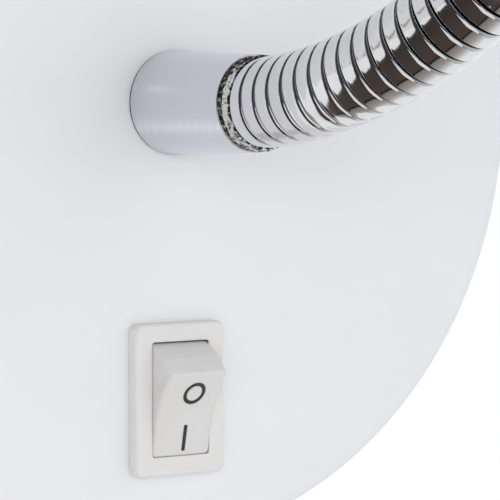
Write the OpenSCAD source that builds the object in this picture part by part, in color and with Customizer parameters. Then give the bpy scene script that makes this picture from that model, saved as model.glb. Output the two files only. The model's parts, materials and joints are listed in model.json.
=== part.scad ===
// Wall lamp: round plate with a rocker switch, ribbed bendable neck and a small metal shade.
// The wall is the plane Y = 0, the lamp stands out along -Y, and +Z is up.
// The origin is on the wall, on the axis of the ferrule.

/* [Wall plate] */
// Diameter of the wall plate
plate_d = 90; // [86:1:120]
// Depth of the wall plate, from the wall to its front face
plate_depth = 25; // [24:0.5:32]
// Thickness of the plate's sheet
plate_wall = 1; // [0.8:0.1:1.4]
// Radius of the plate's front edge
plate_edge_r = 1.6; // [1.5:0.1:3]

/* [Bracket] */
// Width of the strap on the wall
strap_w = 16; // [15:0.5:18]
// Thickness of the strap
strap_t = 1.2; // [1:0.1:1.6]
// Width of the bent tabs
tab_w = 10; // [8:0.5:14]
// Height of the tabs off the wall
tab_h = 14; // [13:0.5:16]
// Diameter of the two wall screw holes
wall_hole_d = 4.5; // [3.5:0.1:5.5]
// Distance between the wall screw holes
wall_hole_spacing = 64; // [62:1:68]
// Diameter of the two plate screws
side_screw_d = 3.5; // [3:0.1:4]
// Height of the plate screws off the wall
side_screw_z = 9; // [8:0.5:10]

/* [Ferrules] */
// Length of a ferrule, from its shoulder to its mouth
ferrule_len = 14.4; // [13.4:0.1:20]
// Diameter at the shoulder
ferrule_base_d = 10.5; // [10:0.1:13]
// Diameter at the mouth
ferrule_mouth_d = 9.6; // [9.4:0.1:11]
// Diameter of the threaded stud
stud_d = 8; // [7:0.1:8.6]
// Length of the threaded stud
stud_len = 12; // [12:0.5:13]
// Bore of the stud
stud_bore_d = 5; // [4:0.1:5.5]
// Width of the nuts across flats
nut_af = 13; // [12:0.5:14]
// Thickness of the nuts
nut_t = 4; // [3:0.5:4.5]
// Diameter of the flat washer
washer_d = 16; // [14:0.5:18]
// Thickness of the washers
washer_t = 0.8; // [0.6:0.1:1]
// Width of the braze ring along the neck
braze_w = 1.6; // [1.2:0.1:1.7]

/* [Neck] */
// Diameter over the ribs
neck_d = 8.9; // [8.4:0.05:8.95]
// Length of one rib
rib_pitch = 2.1; // [2:0.05:2.3]
// Number of ribs in a link
ribs_per_link = 19; // [18:1:20]
// Depth of the grooves between the ribs
groove_depth = 0.5; // [0.3:0.05:0.55]
// Width of the grooves
groove_w = 0.6; // [0.5:0.05:0.8]
// Bore of the neck
neck_bore_d = 6.9; // [6.8:0.05:7]
// Straight run at each end of the neck
neck_straight = 9; // [9:0.1:10]
// Lean of the neck's bend to the right, in degrees
neck_lean = 20; // [0:1:30]
// Radius of the first bend
bend_r = 50; // [45:1:60]
// Steepest rise of the neck, in degrees
bend_up = 60; // [50:1:65]
// Fall of the neck at the shade, in degrees
bend_end = -40; // [-45:1:-30]
// Swing of each link to either side, in degrees
link_swing = 25; // [15:1:25]
// Diameter of the lead in the neck
neck_lead_d = 2.6; // [2.4:0.1:2.8]

/* [Switch] */
// Width of the bezel
bezel_w = 10.8; // [10.4:0.1:12]
// Height of the bezel
bezel_h = 15.5; // [15.2:0.1:17]
// Thickness of the bezel
bezel_t = 1.6; // [1.3:0.1:2]
// Corner radius of the bezel
bezel_r = 0.8; // [0.5:0.1:1]
// Distance of the switch's centre from the plate's edge
switch_inset = 15; // [13:0.5:17]
// Width of the switch body behind the plate
body_w = 8.4; // [8.2:0.1:8.8]
// Height of the switch body behind the plate
body_h = 13.5; // [13.4:0.1:13.8]
// Depth of the switch body behind the plate's front
body_depth = 12.3; // [11.8:0.5:12.8]
// Width of the rocker
rocker_w = 6.9; // [6.6:0.1:7]
// Radius of the rocker's ends about its pivot
rocker_r = 6; // [5.9:0.05:6.15]
// Height of the rocker's face above its pivot, at the middle
rocker_mid = 3.1; // [3:0.1:3.3]
// Slope of the two halves of the rocker's face, in degrees
rocker_slope = 10; // [8:1:12]
// Tilt of the rocker from its middle, in degrees
rocker_tilt = 21.4; // [18:0.2:22]
// Depth of the pivot below the bezel's face
pivot_depth = 2; // [1.8:0.1:2.2]
// Diameter of the rocker's pivot pins
pivot_d = 1.8; // [1.6:0.1:2]
// Tilt of the contact lever from its middle, in degrees
lever_tilt = 8; // [6:0.5:9]
// Width of the terminal blades
blade_w = 2.8; // [2.6:0.1:3]
// Thickness of the terminal blades
blade_t = 0.5; // [0.4:0.05:0.6]

/* [Wiring] */
// Diameter of the single leads
lead_d = 1.2; // [1:0.1:1.2]
// Pitch of the terminal block's poles
pole_pitch = 6; // [5.5:0.1:6]
// Length of the terminal block
block_len = 17; // [16:0.5:18]
// Height of the terminal block
block_h = 10; // [10:0.5:11]

/* [Head] */
// Diameter of the shade's mouth
shade_d = 72; // [66:1:80]
// Diameter of the shade's back
shade_back_d = 36; // [34:1:40]
// Length of the shade
shade_len = 96; // [94:1:105]
// Thickness of the shade's sheet
shade_wall = 0.8; // [0.6:0.1:1.2]
// Diameter of the lampholder
holder_d = 26; // [24:0.5:28]
// Length of the lampholder's body
holder_len = 26; // [24:0.5:26.5]
// Diameter of the bulb's screw cap
cap_d = 13.9; // [13.5:0.1:14]
// Diameter of the bulb's globe
globe_d = 45; // [40:1:46]

/* [Fits] */
// Radial clearance of pieces that slip over each other
slip = 0.05; // [0.02:0.01:0.06]
// Clearance beside moving pieces
free_gap = 0.2; // [0.15:0.01:0.25]
// Radial clearance of screws in plain holes
hole_play = 0.15; // [0.1:0.05:0.2]

/* [Hidden] */
$fn = 64;
link_count = 7;
// How far a cut runs past the face that it opens
cut = 1;

// Finishes
white_paint = [0.89, 0.9, 0.91];
white_plastic = [0.88, 0.87, 0.86];
chrome = [0.78, 0.79, 0.82];
zinc = [0.7, 0.71, 0.73];
brass = [0.8, 0.65, 0.35];
copper = [0.75, 0.45, 0.3];
ceramic = [0.93, 0.92, 0.88];
dark_braze = [0.25, 0.24, 0.24];
frosted = [0.96, 0.96, 0.94];
sheath = [0.9, 0.9, 0.9];
brown_lead = [0.4, 0.25, 0.15];
blue_lead = [0.2, 0.35, 0.7];
earth_green = [0.35, 0.6, 0.25];

// Neck: runs along the centre line, from the hose's end in the ferrule
deg = 180 / PI;
neck_inset = 2;
braze_proud = 0.05;
neck_len = link_count * ribs_per_link * rib_pitch;
link_len = ribs_per_link * rib_pitch;
socket_depth = neck_straight + neck_inset;
socket_floor = ferrule_len - socket_depth;
rise_s = neck_straight + bend_r * bend_up / deg;
fall_s = neck_len - neck_straight;
fall_r = (fall_s - rise_s) * deg / (bend_up - bend_end);
neck_z = plate_depth + socket_floor;
neck_sides = 8;
side_flat = cos(180 / neck_sides);
rib_r = neck_d / 2;
bore_r = neck_bore_d / 2;
socket_d = neck_d + 2 * slip;

// Joint between two links: a hollow ball inside the next link's mouth, both ends cut back for the swing
joint_back = rib_r * tan(link_swing / 2) + free_gap / 2;
mouth_back = bore_r * tan(link_swing / 2) + free_gap / 2;
ball_r = bore_r * side_flat - free_gap;
ball_end = 1.2;
ball_start = 1.9;
lead_r = neck_lead_d / 2;
throat_r = (lead_r + free_gap) / side_flat;
flare_r = (lead_r / cos(link_swing) + ball_end * tan(link_swing) + free_gap) / side_flat;
throat_len = 3;
lead_end_gap = lead_r * tan(link_swing / 2) + free_gap / 2;

// Switch: places in the wall's frame, from the switch's own centre
switch_drop = plate_d / 2 - switch_inset;
bezel_face = plate_depth + bezel_t;
pivot_z = bezel_face - pivot_depth;
chamber_w = rocker_w + 2 * free_gap;
chamber_h = 2 * (rocker_r + free_gap);
floor_t = 1.2;
body_back = plate_depth - body_depth;
pin_reach = 0.35;
boss_d = 3;
plunger_d = 2;
plunger_reach = 4.5;
lever_t = 0.4;
lever_w = 2.6;
lever_l = 8.8;
rivet_d = 1.6;
rivet_h = 0.4;
contact_y = 3.7;
lever_top = pivot_z - plunger_reach - free_gap;
lever_z = lever_top - lever_t;
fulcrum_z = lever_z - free_gap / 2;
load_top = lever_z - contact_y * tan(lever_tilt) - rivet_h - free_gap;
blade_len = 6;
sleeve_l = 7;
sleeve_wall = 0.8;
sleeve_w = blade_w + 2 * sleeve_wall;
sleeve_t = blade_t + 2 * sleeve_wall;
sleeve_seat = 1;

// Terminal block: places in the wall's frame
pole_count = 3;
block_x = 8;
block_w = pole_count * pole_pitch;
insert_d = 3.4;
insert_bore_d = 2.2;
insert_len = block_len - 2;
insert_z = strap_t + block_h / 2;
screw_y = 4.5;
pole_screw_d = 2;
pole_screw_head_d = 3;
function pole_x(i) = block_x + pole_pitch * (i + 0.5);
earth_x = -14;
earth_d = 4;
lug_t = 0.8;
lug_d = 7.4;
lug_barrel_d = 2.8;
lug_barrel_y = 7.5;

// Head: places along the shade's axis, from the hose's end
shade_z = socket_floor;
shade_in_z = shade_z + shade_wall;
cap_z = shade_in_z + washer_t + nut_t;
cap_floor = 6;
holder_wall = 1.5;
cap_len = 12;
body_z = cap_z + cap_len;
body_floor = 5;
well_z = body_z + body_floor;
well_d = cap_d + 1.5;
shell_t = 0.4;
shell_len = 17;
contact_stem = 2.4;
contact_t = 0.6;
contact_stem_d = 2.4;
contact_d = 5;
bulb_z = well_z + contact_stem + contact_t + free_gap / 2;
insulator_h = 2.6;
cap_h = 16;
cap_wall = 0.35;
globe_rise = 3.5;
globe_z = bulb_z + insulator_h + cap_h + globe_rise + globe_d / 2;
glass_t = 0.8;

// Directions
function unit(v) = v / norm(v);
function neck_angle(s) =
    s < neck_straight ? 0 :
    s < rise_s ? (s - neck_straight) / bend_r * deg :
    s < fall_s ? bend_up - (s - rise_s) / fall_r * deg : bend_end;
function neck_out(s) =
    s < neck_straight ? neck_z + s :
    s < rise_s ? neck_z + neck_straight + bend_r * sin(neck_angle(s)) :
    s < fall_s ? neck_z + neck_straight + bend_r * sin(bend_up)
        + fall_r * (sin(bend_up) - sin(neck_angle(s))) :
    neck_z + neck_straight + bend_r * sin(bend_up)
        + fall_r * (sin(bend_up) - sin(bend_end)) + (s - fall_s) * cos(bend_end);
function neck_up(s) =
    s < neck_straight ? 0 :
    s < rise_s ? bend_r * (1 - cos(neck_angle(s))) :
    s < fall_s ? bend_r * (1 - cos(bend_up)) + fall_r * (cos(neck_angle(s)) - cos(bend_up)) :
    bend_r * (1 - cos(bend_up)) + fall_r * (cos(bend_end) - cos(bend_up))
        + (s - fall_s) * sin(bend_end);
neck_side = [cos(neck_lean), -sin(neck_lean), 0];
function leaned(up, out) = [sin(neck_lean) * up, cos(neck_lean) * up, out];
function neck_point(s) = leaned(neck_up(s), neck_out(s));
function neck_normal(s) = leaned(cos(neck_angle(s)), -sin(neck_angle(s)));
function neck_ring(s, r, sides) = [for (k = [0:sides - 1])
    let (a = 360 * k / sides)
    neck_point(s) + r * (cos(a) * neck_side + sin(a) * neck_normal(s))];

// Points of an arc, as [r, z] pairs for a turned profile
function arc(c, r, from, to, steps) = [for (i = [0:steps])
    let (a = from + (to - from) * i / steps) c + r * [cos(a), sin(a)]];

// Frames: the wall's frame has X right, Y up and Z out of the wall
module from_wall() rotate([90, 0, 0]) children();
module at_switch() from_wall() translate([0, -switch_drop, 0]) children();
module at_head() from_wall() rotate([0, 0, -neck_lean])
    translate([0, neck_up(neck_len), neck_out(neck_len)]) rotate([-bend_end, 0, 0]) children();
module turned(profile) rotate_extrude() polygon(profile);
module tube(od, id, h) difference() {
    cylinder(d = od, h = h);
    translate([0, 0, -cut]) cylinder(d = id, h = h + 2 * cut);
}

// Closed skin through rings of equal size; with loop the last ring meets the first
module ring_skin(rings, loop) {
    n = len(rings[0]);
    m = len(rings);
    last = loop ? m - 1 : m - 2;
    walls = [for (j = [0:last], k = [0:n - 1])
        let (a = j * n, b = ((j + 1) % m) * n, q = (k + 1) % n)
        each [[a + k, b + q, a + q], [a + k, b + k, b + q]]];
    end = (m - 1) * n;
    caps = loop ? [] : [for (k = [1:n - 2]) each [[0, k, k + 1], [end, end + k + 1, end + k]]];
    polyhedron([for (ring = rings) each ring], concat(walls, caps));
}

// Round lead along points; up is a direction that the lead never runs along
lead_sides = 8;
function lead_rings(points, r, up) = [for (i = [0:len(points) - 1])
    let (t = unit(points[min(i + 1, len(points) - 1)] - points[max(i - 1, 0)]),
        u = unit(cross(up, t)), v = cross(t, u))
    [for (k = [0:lead_sides - 1])
        let (a = 360 * k / lead_sides) points[i] + r * (cos(a) * u + sin(a) * v)]];
module lead(points, r, up) ring_skin(lead_rings(points, r, up), false);

// Smooth curve through hand-chosen points: each stretch is split in steps parts
curve_steps = 3;
function spline(p, i, t) =
    let (a = p[max(i - 1, 0)], b = p[i], c = p[i + 1], d = p[min(i + 2, len(p) - 1)])
    0.5 * (2 * b + (c - a) * t + (2 * a - 5 * b + 4 * c - d) * t * t
        + (3 * b - a - 3 * c + d) * t * t * t);
function smooth(p) = concat(
    [for (i = [0:len(p) - 2], j = [0:curve_steps - 1]) spline(p, i, j / curve_steps)],
    [p[len(p) - 1]]);

// Wall side

tab_x = sqrt(pow(plate_d / 2 - plate_wall, 2) - pow(strap_w / 2, 2)) - free_gap;

module wall_bracket() color(zinc) from_wall() difference() {
    union() {
        translate([-tab_x, -strap_w / 2, 0]) cube([2 * tab_x, strap_w, strap_t]);
        for (x = [-tab_x, tab_x - strap_t]) translate([x, -tab_w / 2, 0]) cube([strap_t, tab_w, tab_h]);
    }
    for (x = [-1, 1]) translate([x * wall_hole_spacing / 2, 0, -cut])
        cylinder(d = wall_hole_d, h = strap_t + 2 * cut);
    translate([-tab_x - cut, 0, side_screw_z]) rotate([0, 90, 0])
        cylinder(d = side_screw_d + 2 * slip, h = 2 * (tab_x + cut));
    translate([earth_x, 0, -cut]) cylinder(d = earth_d + 2 * slip, h = strap_t + 2 * cut);
    translate([block_screw_x, 0, -cut]) cylinder(d = block_screw_d + 2 * slip, h = strap_t + 2 * cut);
}

plate_r = plate_d / 2;
plate_in_r = plate_r - plate_wall;
plate_in_z = plate_depth - plate_wall;
edge_in_r = plate_edge_r - plate_wall;
cutout_w = body_w + 2 * hole_play;
cutout_h = body_h + 2 * hole_play;

module wall_plate() color(white_paint) from_wall() difference() {
    turned(concat(
        [[plate_in_r, 0], [plate_r, 0]],
        arc([plate_r - plate_edge_r, plate_depth - plate_edge_r], plate_edge_r, 0, 90, 8),
        [[0, plate_depth], [0, plate_depth - plate_wall]],
        arc([plate_r - plate_edge_r, plate_depth - plate_edge_r], edge_in_r, 90, 0, 8)));
    cylinder(d = stud_d + 2 * hole_play, h = plate_depth + cut);
    translate([-cutout_w / 2, -switch_drop - cutout_h / 2, plate_in_z - cut])
        cube([cutout_w, cutout_h, plate_wall + 2 * cut]);
    translate([-plate_d, 0, side_screw_z]) rotate([0, 90, 0])
        cylinder(d = side_screw_d + 2 * hole_play, h = 2 * plate_d);
}

side_head_d = 6;
side_head_h = 2;
side_head_round = 1;
side_tip = 2;
module plate_screws() color(zinc) from_wall() for (side = [0, 180]) rotate([0, 0, side])
    translate([0, 0, side_screw_z]) rotate([0, 90, 0]) {
        translate([0, 0, tab_x - strap_t - side_tip])
            cylinder(d = side_screw_d, h = plate_r - tab_x + strap_t + side_tip + side_head_round);
        translate([0, 0, plate_r]) turned(concat(
            [[0, 0], [side_head_d / 2, 0]],
            arc([side_head_d / 2, side_head_h] - side_head_round * [1, 1], side_head_round, 0, 90, 4),
            [[0, side_head_h]]));
    }

earth_head_d = 7;
earth_head_h = 2.4;
slot_w = 0.8;
slot_depth = 0.9;
// Screwdriver slot across a head whose top is at z
module screw_slot(d, z) translate([-d, -slot_w / 2, z - slot_depth]) cube([2 * d, slot_w, slot_depth + cut]);
module earth_screw() color(brass) from_wall() translate([earth_x, 0, 0]) {
    cylinder(d = earth_d, h = strap_t + lug_t);
    translate([0, 0, strap_t + lug_t]) difference() {
        cylinder(d = earth_head_d, h = earth_head_h);
        screw_slot(earth_head_d, earth_head_h);
    }
}

lug_barrel_z = strap_t + lug_barrel_d / 2;
lug_floor = 1;
module earth_lug() color(zinc) from_wall() translate([earth_x, 0, 0]) difference() {
    union() {
        translate([0, 0, strap_t]) cylinder(d = lug_d, h = lug_t);
        translate([-lug_barrel_d / 2, 0, strap_t]) cube([lug_barrel_d, lug_d / 2 + lug_t, lug_t]);
        translate([0, lug_d / 2, lug_barrel_z]) rotate([-90, 0, 0])
            cylinder(d = lug_barrel_d, h = lug_barrel_y - lug_d / 2);
    }
    translate([0, 0, strap_t - cut]) cylinder(d = earth_d + 2 * slip, h = lug_t + 2 * cut);
    translate([0, lug_d / 2 + lug_floor, lug_barrel_z]) rotate([-90, 0, 0])
        cylinder(d = lead_d + 2 * slip, h = lug_barrel_y);
}

// Ferrules and their fasteners

module ferrule_body() color(chrome) turned([
    [stud_bore_d / 2, -stud_len], [stud_d / 2, -stud_len], [stud_d / 2, 0], [ferrule_base_d / 2, 0],
    [ferrule_mouth_d / 2, ferrule_len], [socket_d / 2, ferrule_len], [socket_d / 2, socket_floor],
    [stud_bore_d / 2, socket_floor]]);
module braze_body() color(dark_braze) translate([0, 0, ferrule_len])
    tube(ferrule_mouth_d + 2 * braze_proud, neck_d + 2 * hole_play, braze_w);
module lock_washer_body() color(zinc) tube(nut_af, stud_d + 2 * slip, washer_t);
module nut_body() color(zinc) difference() {
    cylinder(d = nut_af / cos(30), h = nut_t, $fn = 6);
    translate([0, 0, -cut]) cylinder(d = stud_d + 2 * slip, h = nut_t + 2 * cut);
}

lock_z = plate_in_z - 2 * washer_t;
module ferrule() from_wall() translate([0, 0, plate_depth]) ferrule_body();
module braze_ring() from_wall() translate([0, 0, plate_depth]) braze_body();
module neck_washer() color(zinc) from_wall() translate([0, 0, plate_in_z - washer_t])
    tube(washer_d, stud_d + 2 * slip, washer_t);
module neck_lock_washer() from_wall() translate([0, 0, lock_z]) lock_washer_body();
module neck_nut() from_wall() translate([0, 0, lock_z - nut_t]) nut_body();

// Switch

module rounded_slab(w, h, t, r) linear_extrude(t) offset(r) square([w - 2 * r, h - 2 * r], center = true);

// Slot that a terminal blade passes through
module blade_slot(h) translate([-blade_w / 2 - slip, -blade_t / 2 - slip, 0])
    cube([blade_w + 2 * slip, blade_t + 2 * slip, h]);

opening_h = chamber_h - 2 * (rocker_r - sqrt(rocker_r * rocker_r - pivot_depth * pivot_depth));
wing_l = 5;
wing_reach = 0.6;
wing_h = 4;
module switch_housing() color(white_plastic) at_switch() difference() {
    union() {
        translate([0, 0, plate_depth]) hull() {
            rounded_slab(bezel_w, bezel_h, bezel_t - bezel_r, bezel_r, $fn = 32);
            rounded_slab(bezel_w - bezel_r, bezel_h - bezel_r, bezel_t, bezel_r, $fn = 32);
        }
        translate([-body_w / 2, -body_h / 2, body_back]) cube([body_w, body_h, body_depth]);
        for (side = [0, 180]) rotate([0, 0, side]) translate([body_w / 2, wing_l / 2, plate_in_z])
            rotate([90, 0, 0]) linear_extrude(wing_l) polygon([[0, 0], [wing_reach, 0], [0, -wing_h]]);
    }
    translate([-chamber_w / 2, -chamber_h / 2, body_back + floor_t])
        cube([chamber_w, chamber_h, pivot_z - body_back - floor_t]);
    translate([-chamber_w / 2, 0, pivot_z]) rotate([0, 90, 0]) cylinder(d = chamber_h, h = chamber_w);
    translate([-chamber_w / 2, -opening_h / 2, pivot_z]) cube([chamber_w, opening_h, pivot_depth + cut]);
    translate([-chamber_w / 2 - pin_reach, 0, pivot_z]) rotate([0, 90, 0])
        cylinder(d = pivot_d + 2 * slip, h = chamber_w + 2 * pin_reach);
    for (y = [0, contact_y]) translate([0, y, body_back - cut]) blade_slot(floor_t + 2 * cut);
}

// The rocker in its middle place, its pivot along X through the origin and its face towards +Z
face_half = 4.6;
face_end = rocker_mid + face_half * tan(rocker_slope);
skirt_low = -0.8;
shell_wall = 1;
module rocker_outline(inset, low) polygon([
    [-rocker_r, low], [rocker_r, low], [rocker_r, face_end - inset], [face_half, face_end - inset],
    [0, rocker_mid - inset], [-face_half, face_end - inset], [-rocker_r, face_end - inset]]);
module rocker_prism(w, r, inset, low) translate([-w / 2, 0, 0]) intersection() {
    rotate([90, 0, 90]) linear_extrude(w) rocker_outline(inset, low);
    rotate([0, 90, 0]) cylinder(r = r, h = w);
}
bore_top = rocker_mid - shell_wall - slip;
boss_low = -2;
pin_span = chamber_w + 2 * pin_reach - free_gap;
module rocker_body() {
    difference() {
        rocker_prism(rocker_w, rocker_r, 0, skirt_low);
        rocker_prism(rocker_w - 2 * shell_wall, rocker_r - shell_wall, shell_wall, skirt_low - cut);
    }
    difference() {
        union() {
            rotate([0, 90, 0]) cylinder(d = pivot_d, h = pin_span, center = true);
            translate([0, 0, boss_low]) cylinder(d = boss_d, h = rocker_mid - shell_wall / 2 - boss_low);
        }
        translate([0, 0, boss_low - cut]) cylinder(d = plunger_d + 2 * slip, h = bore_top - boss_low + cut);
    }
}
module at_rocker() at_switch() translate([0, 0, pivot_z]) rotate([rocker_tilt, 0, 0]) children();
module switch_rocker() color(white_plastic) at_rocker() rocker_body();

plunger_top = -1;
module rocker_plunger() color(ceramic) at_rocker() turned(concat(
    [[0, plunger_top]],
    [[plunger_d / 2, plunger_top], [plunger_d / 2, -plunger_reach + plunger_d / 2]],
    arc([0, -plunger_reach + plunger_d / 2], plunger_d / 2, 0, -90, 6)));

spring_wire = 0.3;
spring_turns = 4;
spring_r = plunger_d / 2 - spring_wire / 2 - slip;
spring_low = plunger_top + spring_wire / 2 + slip;
spring_rise = bore_top - slip - spring_wire / 2 - spring_low;
spring_steps = 8;
spring_points = [for (i = [0:spring_turns * spring_steps]) let (a = 360 * i / spring_steps)
    [spring_r * cos(a), spring_r * sin(a), spring_low + spring_rise * i / (spring_turns * spring_steps)]];
spring_gap = min([for (i = [0:len(spring_points) - 1], j = [i + spring_steps / 2:len(spring_points) - 1])
    norm(spring_points[i] - spring_points[j])]) - spring_wire;
echo(least_gap_of_plunger_spring = spring_gap);
module plunger_spring() color(zinc) at_rocker() lead(spring_points, spring_wire / 2, [0, 0, 1]);

module contact_lever() color(brass) at_switch() translate([0, 0, lever_z]) rotate([-lever_tilt, 0, 0]) {
    translate([-lever_w / 2, -lever_l / 2, 0]) cube([lever_w, lever_l, lever_t]);
    translate([0, contact_y, -rivet_h]) cylinder(d = rivet_d, h = rivet_h);
}

module blade(y, top) translate([-blade_w / 2, y - blade_t / 2, body_back - blade_len])
    cube([blade_w, blade_t, top - body_back + blade_len]);
module common_terminal() color(brass) at_switch() {
    blade(0, fulcrum_z - blade_t / 2);
    translate([-blade_w / 2, 0, fulcrum_z - blade_t / 2]) rotate([0, 90, 0])
        cylinder(d = blade_t, h = blade_w);
}
module load_terminal() color(brass) at_switch() {
    blade(contact_y, load_top - rivet_h);
    translate([0, contact_y, load_top - rivet_h]) cylinder(d = rivet_d, h = rivet_h);
}

sleeve_z = body_back - blade_len - sleeve_seat;
module blade_receptacle() difference() {
    translate([-sleeve_w / 2, -sleeve_t / 2, 0]) cube([sleeve_w, sleeve_t, sleeve_l - free_gap]);
    translate([0, 0, sleeve_seat]) blade_slot(sleeve_l);
    translate([0, 0, -cut]) cylinder(d = lead_d + 2 * slip, h = sleeve_seat + 2 * cut);
}
module blade_receptacles() color(sheath) at_switch()
    for (y = [0, contact_y]) translate([0, y, sleeve_z]) blade_receptacle();

// Terminal block

block_screw_d = 2.3;
block_screw_x = block_x + pole_pitch;
block_top = strap_t + block_h;
module each_pole() for (i = [0:pole_count - 1]) translate([pole_x(i), 0, 0]) children();
module each_pole_screw() each_pole() for (y = [-screw_y, screw_y]) translate([0, y, 0]) children();
module along_pole(d, h) translate([0, 0, insert_z]) rotate([90, 0, 0]) cylinder(d = d, h = h, center = true);
module terminal_block() color(sheath) from_wall() difference() {
    translate([block_x, -block_len / 2, strap_t]) cube([block_w, block_len, block_h]);
    each_pole() along_pole(insert_d + 2 * slip, block_len + 2 * cut);
    each_pole_screw() translate([0, 0, insert_z]) cylinder(d = pole_screw_head_d + 2 * slip, h = block_h);
    translate([block_screw_x, 0, strap_t - cut])
        cylinder(d = block_screw_d + 2 * slip, h = block_h + 2 * cut);
}
module terminal_inserts() color(brass) from_wall() difference() {
    each_pole() along_pole(insert_d, insert_len);
    each_pole() along_pole(insert_bore_d, block_len);
    each_pole_screw() translate([0, 0, insert_z]) cylinder(d = pole_screw_d + 2 * slip, h = insert_d);
}
pole_screw_tip = insert_z + lead_d / 2 + slip;
pole_screw_seat = insert_z + insert_d / 2 + slip;
pole_screw_head_h = 2;
module terminal_screws() color(zinc) from_wall() each_pole_screw() difference() {
    union() {
        translate([0, 0, pole_screw_tip])
            cylinder(d = pole_screw_d, h = pole_screw_seat - pole_screw_tip + slip);
        translate([0, 0, pole_screw_seat]) cylinder(d = pole_screw_head_d, h = pole_screw_head_h);
    }
    screw_slot(pole_screw_head_d, pole_screw_seat + pole_screw_head_h);
}
block_head_d = 4.4;
block_head_h = 1.6;
module block_screw() color(zinc) from_wall() translate([block_screw_x, 0, 0]) {
    cylinder(d = block_screw_d, h = block_top);
    translate([0, 0, block_top]) difference() {
        cylinder(d = block_head_d, h = block_head_h);
        screw_slot(block_head_d, block_head_h);
    }
}

// Leads behind the plate, in the wall's frame

core_x = lead_d / 2 + slip;
sheath_out = 1;
sheath_end = plate_depth - stud_len - sheath_out;
core_end = sheath_end - 2 * slip;
pole_grip = 2;
pole_in = block_len / 2 - pole_grip;
blade_seat = sleeve_z + sleeve_seat - 2 * slip;
block_end = block_len / 2;
lead_out = 1.5;
lead_low = lead_d;
switched_y = contact_y - switch_drop;
live_route = [
    [pole_x(0), -pole_in, insert_z], [pole_x(0), -block_end - lead_out, insert_z],
    [pole_x(0), -block_end - 3 * lead_out, insert_z * 0.55], [block_x, -switch_drop * 0.63, lead_low * 1.3],
    [block_x * 0.3, -switch_drop * 0.88, lead_low], [lead_low * 0.2, -switch_drop, blade_seat * 0.38],
    [0, -switch_drop, blade_seat * 0.67], [0, -switch_drop, blade_seat]];
switched_route = [
    [0, switched_y, blade_seat], [0, switched_y, blade_seat * 0.7],
    [-lead_d * 0.25, switched_y + lead_d * 0.33, blade_seat * 0.43],
    [-lead_d * 1.7, -switch_drop * 0.75, lead_low * 1.5], [-lead_d * 3.3, -switch_drop * 0.53, lead_low * 2.5],
    [-lead_d * 2.8, -switch_drop * 0.27, sheath_end * 0.55], [-core_x * 1.3, -lead_d, sheath_end * 0.75],
    [-core_x, 0, core_end - sheath_out], [-core_x, 0, core_end]];
neutral_route = [
    [core_x, 0, core_end], [core_x, 0, core_end - sheath_out], [core_x * 1.3, -lead_d, sheath_end * 0.75],
    [block_x * 0.5, -block_len * 0.41, sheath_end * 0.65],
    [block_x * 1.13, -block_len * 0.7, sheath_end * 0.67],
    [block_x + pole_pitch, -block_len * 0.85, insert_z * 1.2], [pole_x(1), -block_end - 3 * lead_out, insert_z],
    [pole_x(1), -block_end - lead_out, insert_z], [pole_x(1), -pole_in, insert_z]];
earth_route = [
    [pole_x(2), pole_in, insert_z], [pole_x(2), block_end + lead_out, insert_z],
    [pole_x(2) * 0.83, block_len * 0.79, insert_z * 0.87], [block_x, block_len * 0.86, insert_z * 0.71],
    [earth_x * 0.29, block_len * 0.86, insert_z * 0.55], [earth_x * 0.79, block_len * 0.8, lug_barrel_z],
    [earth_x, block_len * 0.65, lug_barrel_z], [earth_x, lug_barrel_y * 1.2, lug_barrel_z],
    [earth_x, lug_d / 2 + lug_floor + free_gap, lug_barrel_z]];
module live_lead() color(brown_lead) from_wall() lead(smooth(live_route), lead_d / 2, [1, 0.3, 0.2]);
module switched_lead() color(brown_lead) from_wall() lead(smooth(switched_route), lead_d / 2, [1, 0, 0]);
module neutral_lead() color(blue_lead) from_wall() lead(smooth(neutral_route), lead_d / 2, [0.5, 1, 0.2]);
module earth_lead() color(earth_green) from_wall() lead(smooth(earth_route), lead_d / 2, [0, 0, 1]);

// Neck

// Run of a link's own ends: the first and last links end square in their ferrules
function link_start(i) = (i - 1) * link_len;
function link_ribs(i) = let (from = link_start(i), w = groove_w / 2) [for (k = [0:ribs_per_link - 1])
    let (low = from + k * rib_pitch, high = low + rib_pitch,
        a = k > 0 ? low + w : i == 1 ? from : from + joint_back,
        b = k < ribs_per_link - 1 ? high - w : i == link_count ? high : high - joint_back)
    each concat([[a, rib_r], [b, rib_r]], k < ribs_per_link - 1 ? [[high, rib_r - groove_depth]] : [])];
function link_ball(i) = i == link_count ? [[neck_len, bore_r]] : let (c = link_start(i + 1)) [
    [c - ball_start, sqrt(ball_r * ball_r - ball_start * ball_start)],
    [c - ball_start / 2, sqrt(ball_r * ball_r - ball_start * ball_start / 4)],
    [c, ball_r], [c + ball_end, sqrt(ball_r * ball_r - ball_end * ball_end)],
    [c + ball_end, flare_r], [c, throat_r], [c - throat_len, throat_r], [c - throat_len - 1, bore_r]];
bore_parts = 5;
function link_bore(i) = [for (k = [1:bore_parts - 1])
    [link_start(i) + link_len * (1 - k / bore_parts), bore_r]];
function link_mouth(i) = [[i == 1 ? 0 : link_start(i) + mouth_back, bore_r]];
function link_profile(i) = concat(link_ribs(i), link_ball(i), link_bore(i), link_mouth(i));
module neck_link(i) color(chrome) from_wall()
    ring_skin([for (p = link_profile(i)) neck_ring(p[0], p[1], neck_sides)], true);

lead_parts = 8;
lead_lead_in = sheath_end - neck_z;
function lead_from(i) = i == 1 ? lead_lead_in : link_start(i) + lead_end_gap;
function lead_to(i) = i == link_count ? neck_len + holder_lead_z : link_start(i + 1) - lead_end_gap;
module neck_lead(i) color(sheath) from_wall() ring_skin([for (k = [0:lead_parts])
    neck_ring(lead_from(i) + (lead_to(i) - lead_from(i)) * k / lead_parts, lead_r, lead_sides)], false);

// Head

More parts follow.
